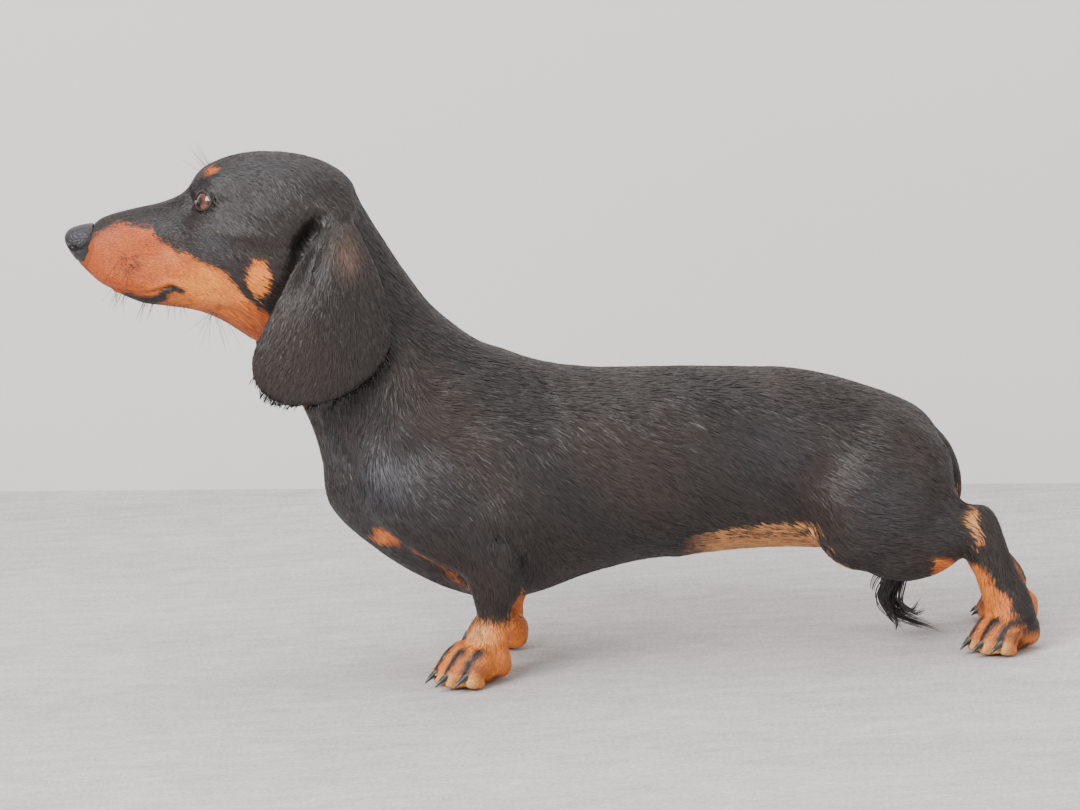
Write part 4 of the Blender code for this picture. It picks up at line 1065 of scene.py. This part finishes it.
CORNEA, CORNEA_SPREAD = 0.045, 32  # how far the front bulges, and over how many degrees
RIM_POINTS, RIM_RADIUS = 72, 0.6 * MM
for side, word in ((-1, "left"), (1, "right")):
    ball = bmesh.new()
    bmesh.ops.create_uvsphere(ball, u_segments=56, v_segments=40, radius=EYE_RADIUS * MM)
    angles = []
    for vert in ball.verts:
        turn = math.degrees(math.acos(max(-1, min(1, vert.co.z / (EYE_RADIUS * MM)))))
        vert.co *= 1 + CORNEA * math.exp(-((turn / CORNEA_SPREAD) ** 2))
        angles.append(turn / 90)
    look = Vector((GAZE[0], side * GAZE[1], GAZE[2])).to_track_quat("Z", "Y").to_matrix().to_4x4()
    look.translation = place(EYE[0], side * EYE[1], EYE[2])
    bmesh.ops.transform(ball, matrix=look, verts=ball.verts)
    mesh = mesh_from(f"eyeball_{word}", ball)
    mesh.shade_smooth()
    gaze = mesh.attributes.new("gaze", "FLOAT", "POINT")
    gaze.data.foreach_set("value", np.array(angles, np.float32))
    eyeball = show(mesh.name, mesh, eye_material)
    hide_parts(f"eye_{word}")
    rim = bpy.data.curves.new(f"lid_rim_{word}", "CURVE")
    rim.dimensions, rim.bevel_depth, rim.bevel_resolution = "3D", RIM_RADIUS, 3
    line = rim.splines.new("POLY")
    line.points.add(RIM_POINTS - 1)
    line.use_cyclic_u = True
    for k, point in enumerate(line.points):
        degrees = k * 360 / RIM_POINTS
        reach = np.interp(degrees, *zip(*EYE_EDGE)) + 0.15
        u, v = reach * math.cos(math.radians(degrees)), reach * math.sin(math.radians(degrees))
        point.co = (*on_eye(side, u, v, EYE_RADIUS + 0.55), 1)
        point.radius = 1.25 if v > 0 else 0.95
    corner = bmesh.new()
    spot = Matrix.Translation(on_eye(side, 5.9, -0.5, EYE_RADIUS - 0.1))
    bmesh.ops.create_icosphere(corner, subdivisions=3, radius=1.3 * MM, matrix=spot)
    mesh = mesh_from(f"eye_corner_{word}", corner)
    mesh.shade_smooth()
    show(mesh.name, mesh, corner_material)
    mesh = evaluated(linked(rim.name, rim))
    mesh.name = f"lid_rim_{word}"
    mesh.shade_smooth()
    show(mesh.name, mesh, rim_material)
tell("eyes")

# %% [markdown]
# ## The nose
#
# The leather of the nose is black, moist and pebbled. The solid has its shape and the
# nostrils, so a copy of it is remeshed finely and smoothed, and its pebbles are bump.

# %% Nose leather
def finer(name, nodes, voxel, rounds):
    """A smooth fine copy of some solids as one mesh."""
    joined = bmesh.new()
    for node in nodes:
        joined.from_mesh(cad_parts[node].data)
    bmesh.ops.remove_doubles(joined, verts=joined.verts, dist=SAME_SPOT)
    mesh = fused_from(name, joined, voxel)
    move_points(mesh, relax(points_of(mesh), numbers(mesh.edges, "vertices", 2, np.int32), rounds))
    mesh.update()
    mesh.shade_smooth()
    mesh.name = name
    return mesh


nose_material, shader, coords = new_material("nose_leather", Specular_IOR_Level=0.5)
cells = {"Vector": coords, "Scale": 1050.0, "Smoothness": 0.25}
pebbles = coords.node("ShaderNodeTexVoronoi", {"feature": "SMOOTH_F1"}, **cells).out("Distance")
# Painted shade: the nostrils' insides are painted near black.
hollow = coords.attribute("hollow").out("Fac")
leather = coords.noise(180.0).mix((0.012, 0.0105, 0.0125, 1), (0.036, 0.032, 0.038, 1))
feed(shader, "Base Color", hollow.mix(leather, (0.002, 0.002, 0.002, 1)))
feed(shader, "Roughness", pebbles * 0.3 + 0.26)
feed_bump(shader, pebbles, 0.0006, 0.55, invert=True)
NOSTRIL = (  # from the hole in front to the end of the slit at the side
    (-258, 4.8, 244.3), (-256, 5.4, 244), (-253.6, 8.0, 241.8),
    (-250.2, 10.4, 240.4), (-247.4, 11.2, 241.8), (-246, 11.4, 243.8),
)
nose = show("nose_leather", finer("nose_leather", ["nose"], 0.45 * MM, 14), nose_material)
# How near each point lies to a nostril's slit, for the painted shade in it.
inside = np.exp(-((line_distance(folded(points_of(nose.data)), NOSTRIL) / 1.7) ** 4))
layer = nose.data.attributes.new("hollow", "FLOAT", "POINT")
layer.data.foreach_set("value", inside.astype(np.float32))
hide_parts("nose")
print("nose:", len(nose.data.polygons), "faces")

# %% [markdown]
# ## The claws
#
# A claw is dark horn with fine streaks along it. It shows best where it catches a pale
# light along its back. The solids' claws are remeshed finely, four or five to a foot.

# %% Claw horn
horn, shader, coords = new_material("claw_horn", Coat_Weight=0.6, Coat_Roughness=0.08)
streaks = coords.noise(700.0, 3.0)
feed(shader, "Base Color", streaks.mix((0.006, 0.0055, 0.0055, 1), (0.040, 0.036, 0.034, 1)))
feed(shader, "Roughness", streaks * 0.2 + 0.22)
for end in ("fore", "hind"):
    for word in ("left", "right"):
        nodes = [f"claw_{end}_{word}_{k}" for k in range(1, 5)]
        nodes += [f"dewclaw_{word}"] if end == "fore" else []
        name = f"claws_{end}_{word}"
        claws = show(name, finer(name, nodes, 0.32 * MM, 10), horn)
        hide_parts(*nodes)

# %% [markdown]
# ## Whiskers and the tuft at the tail's tip
#
# Whiskers are stiff, dark and thin, and stand out from the lips, chin, cheek and brow. The
# tail ends in long soft black locks that curl where they near the floor. Both are tapered
# tubes along smooth curves, which a curve object with a radius at each point makes.

# %% Tapered hairs
def hairs_along(name, paths, material):
    """One mesh of tapered tubes: each path is its points and its thickest radius, in millimetres."""
    curve = bpy.data.curves.new(name, "CURVE")
    curve.dimensions, curve.use_fill_caps = "3D", True
    curve.bevel_depth, curve.bevel_resolution = MM, 1
    for rows, radius in paths:
        line = curve.splines.new("POLY")
        line.points.add(len(rows) - 1)
        for k, (point, row) in enumerate(zip(line.points, rows)):
            t = k / (len(rows) - 1)
            point.co = (*place(*row), 1)
            point.radius = radius * (min(1, 0.5 + 4 * t) * (1 - t) ** 0.8 + 0.03)
    mesh = evaluated(linked(name, curve))
    mesh.name = name
    mesh.shade_smooth()
    return show(name, mesh, material)


hair = {"Base_Color": (0.012, 0.011, 0.011, 1), "Specular_IOR_Level": 0.6}
hair_material, shader, coords = new_material("long_black_hair", **hair)
feed(shader, "Roughness", coords.noise(300.0) * 0.2 + 0.25)
WHISKER_RADIUS = 0.15

# Groups of whiskers: place on the folded dog, spread, count, direction, length and droop.
WHISKERS = (
    ((-226, 18, 232), (6, 2, 5), 8, (-0.35, 0.75, -0.45), 11, 5),
    ((-232, 11, 212), (6, 3, 1), 7, (-0.45, 0.25, -0.85), 10, 3),
    ((-218, 13, 208), (6, 4, 1), 7, (-0.45, 0.30, -0.85), 10, 3),
    ((-203, 12, 207), (7, 3, 1), 5, (0.05, 0.30, -0.9), 8, 2),
    ((-180.5, 15, 204), (1.6, 2, 1), 3, (-0.75, 0.25, -0.95), 24, 2),
    ((-179.5, 15, 203), (1.6, 2, 1), 3, (0.45, 0.25, -0.95), 22, 8),
    ((-181, 17, 284), (1.5, 2, 0.8), 4, (-0.75, 0.2, 0.75), 15, -3),
    ((-171, 17, 288), (2, 2, 0.8), 1, (0.0, 0.2, 1.0), 8, 0),
    ((-166, 33, 236), (2, 1, 2), 2, (0.15, 0.8, -0.55), 14, 4),
)
paths = []
for spot, spread, count, direction, reach, droop in WHISKERS:
    for side in (-1, 1):
        for _ in range(count):
            root = np.array(spot) + random.uniform(-1, 1, 3) * spread
            root[1] *= side
            found = skin_tree.find_nearest(place(*root))[0]
            root = own(np.array(found)[None])[0]
            ray = np.array(direction) + random.normal(0, 0.16, 3)
            ray[1] *= side
            ray /= np.linalg.norm(ray)
            size = reach * random.uniform(0.55, 1.15)
            bend = np.array([random.normal(0, 0.12) * reach, 0, -droop])
            rows = [root + ray * size * t + bend * t * t for t in np.linspace(-0.03, 1, 10)]
            paths.append((rows, WHISKER_RADIUS))
hairs_along("whiskers", paths, hair_material)

# Locks of the tail's tip: where each passes and ends, its spread there, and how many hairs it has.
LOCKS = (
    ((187, 0, 40), (180.5, 0, 26), (185, 0.5, 15), (210, 2.0, 3.2), 2.3, 46),
    ((189, 2, 38), (183, 2, 25), (188, 3, 14), (200, 4, 5.5), 1.9, 26),
    ((186, -2, 40), (177.5, -2, 26), (181, -3, 15), (188, -4, 6.5), 1.6, 26),
    ((189, 1, 38), (185, 2, 23), (194, 3, 15), (200.5, 3.5, 22), 1.2, 12),
    ((190, -1, 37), (187, -2, 22), (195, -2.5, 15), (203, -3, 17), 1.3, 10),
    ((187, 1, 36), (183, 2, 20), (186, 3, 10), (185.5, 4, 4.0), 0.9, 7),
    ((184, -1, 42), (176, -1.5, 37), (173, -2, 32), (172.5, -2.5, 28), 0.9, 7),
)
paths = []
for *stations, spread, count in LOCKS:
    for _ in range(count):
        off = random.normal(0, 1, 3) * spread
        rows = [np.array(s, float) + off * f for s, f in zip(stations, (1.0, 0.95, 0.7, 0.45))]
        rows[-1] = rows[-2] + (rows[-1] - rows[-2]) * random.uniform(0.55, 1.1)
        rows = smooth_path(rows, 5)
        rows[:, 2] = np.maximum(rows[:, 2], 0.8)
        paths.append((rows, random.uniform(0.28, 0.5)))
hairs_along("tail_tuft", paths, hair_material)
tell("whiskers and tail tuft")

# %% [markdown]
# ## Floor, light and camera
#
# The dog stands on a pale floor that meets a pale wall behind it. A broad soft light comes
# from the upper left in front, a weaker one from the right, and a strip from above lights
# the back. The camera looks slightly down, a little from the front of the dog's left side.

# %% Floor and wall
WALL_TURN = math.radians(-14)
floor_material, shader, coords = new_material("floor_cloth", Roughness=0.9, Specular_IOR_Level=0.2)
stretched = coords.node("ShaderNodeVectorMath", {"operation": "MULTIPLY"}, i0=coords, i1=(0.35, 1.0, 1.0))
weave = coords.noise(520.0, 3.0)
tone = weave * 0.8 + stretched.noise(95.0, 4.0) * 0.5 + stretched.noise(14.0) * 0.3 - 0.3
across = coords.node("ShaderNodeSeparateXYZ", Vector=coords).out("Y")
# Painted shade: the floor's colour darkens towards the wall.
far = across.node("ShaderNodeMapRange", i1=-0.1, i2=0.42, i3=0.0, i4=0.22)
feed(shader, "Base Color", (tone - far).mix((0.40, 0.385, 0.38, 1), (0.92, 0.89, 0.88, 1)))
feed_bump(shader, weave, 0.0008, 0.35)
paper = {"Base_Color": (0.78, 0.755, 0.745, 1), "Roughness": 0.95, "Specular_IOR_Level": 0.1}
wall_material, shader, coords = new_material("wall_paper", **paper)
for name, size, where, turn, material in (
    ("floor", (6, 4.5), (0, -1.0, -0.0005), 0, floor_material),
    ("wall", (6, 3), (0, 0.52, 1.4995), 90, wall_material),
):
    sheet = bmesh.new()
    bmesh.ops.create_grid(sheet, x_segments=4, y_segments=4, size=0.5)
    bmesh.ops.scale(sheet, vec=(*size, 1), verts=sheet.verts)
    stand = Matrix.Rotation(math.radians(turn), 3, "X")
    bmesh.ops.rotate(sheet, matrix=stand, verts=sheet.verts)
    if turn:
        bmesh.ops.rotate(sheet, matrix=Matrix.Rotation(WALL_TURN, 3, "Z"), verts=sheet.verts)
    bmesh.ops.translate(sheet, vec=where, verts=sheet.verts)
    obj = linked(name, mesh_from(name, sheet))
    obj.data.materials.append(material)
    obj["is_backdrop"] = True

# %% Lights
world = bpy.data.worlds.new("studio")
bpy.context.scene.world = world
world.use_nodes = True
glow = world.node_tree.nodes["Background"].inputs
glow["Color"].default_value, glow["Strength"].default_value = (1.0, 0.99, 0.98, 1), 0.62
LIT_SPOT = Vector((0, 0, 0.12))  # the middle of the dog, which the lamps face
for name, where, power, size in (
    ("key", (-1.3, -1.5, 1.5), 74, 1.3),
    ("fill", (1.6, -1.6, 1.0), 16, 1.4),
    ("top", (0.0, 0.0, 1.7), 14, 1.2),
):
    lamp = bpy.data.lights.new(name, "AREA")
    lamp.energy, lamp.size = power, size
    obj = linked(name, lamp)
    obj.location = where
    obj.rotation_euler = (LIT_SPOT - Vector(where)).to_track_quat("-Z", "Y").to_euler()

# %% Camera
LENS_PIXELS, DISTANCE = 3390, 1.85  # focal length in pixels of a 1080-pixel-wide photograph
SENSOR = 36
PITCH, YAW, ROLL = (math.radians(a) for a in (9.3, 3.0, -2.5))
target = Vector((-0.0132, 0.0041, 0.142))
level = math.cos(PITCH)
back = Vector((-math.sin(YAW) * level, -math.cos(YAW) * level, math.sin(PITCH)))
flat_right = (-back).cross(Vector((0, 0, 1))).normalized()
flat_up = flat_right.cross(-back)
right = flat_right * math.cos(ROLL) + flat_up * math.sin(ROLL)
upward = flat_up * math.cos(ROLL) - flat_right * math.sin(ROLL)
view = Matrix((right, upward, back)).transposed().to_4x4()
view.translation = target + back * DISTANCE
lens = bpy.data.cameras.new("camera")
lens.sensor_width = SENSOR
lens.lens = SENSOR * LENS_PIXELS / 1080
lens.clip_start = 0.01
camera = linked("camera", lens)
camera.matrix_world = view
bpy.context.scene.camera = camera

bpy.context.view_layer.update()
total = sum(len(o.data.polygons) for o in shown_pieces())
tell("faces in all:", total)
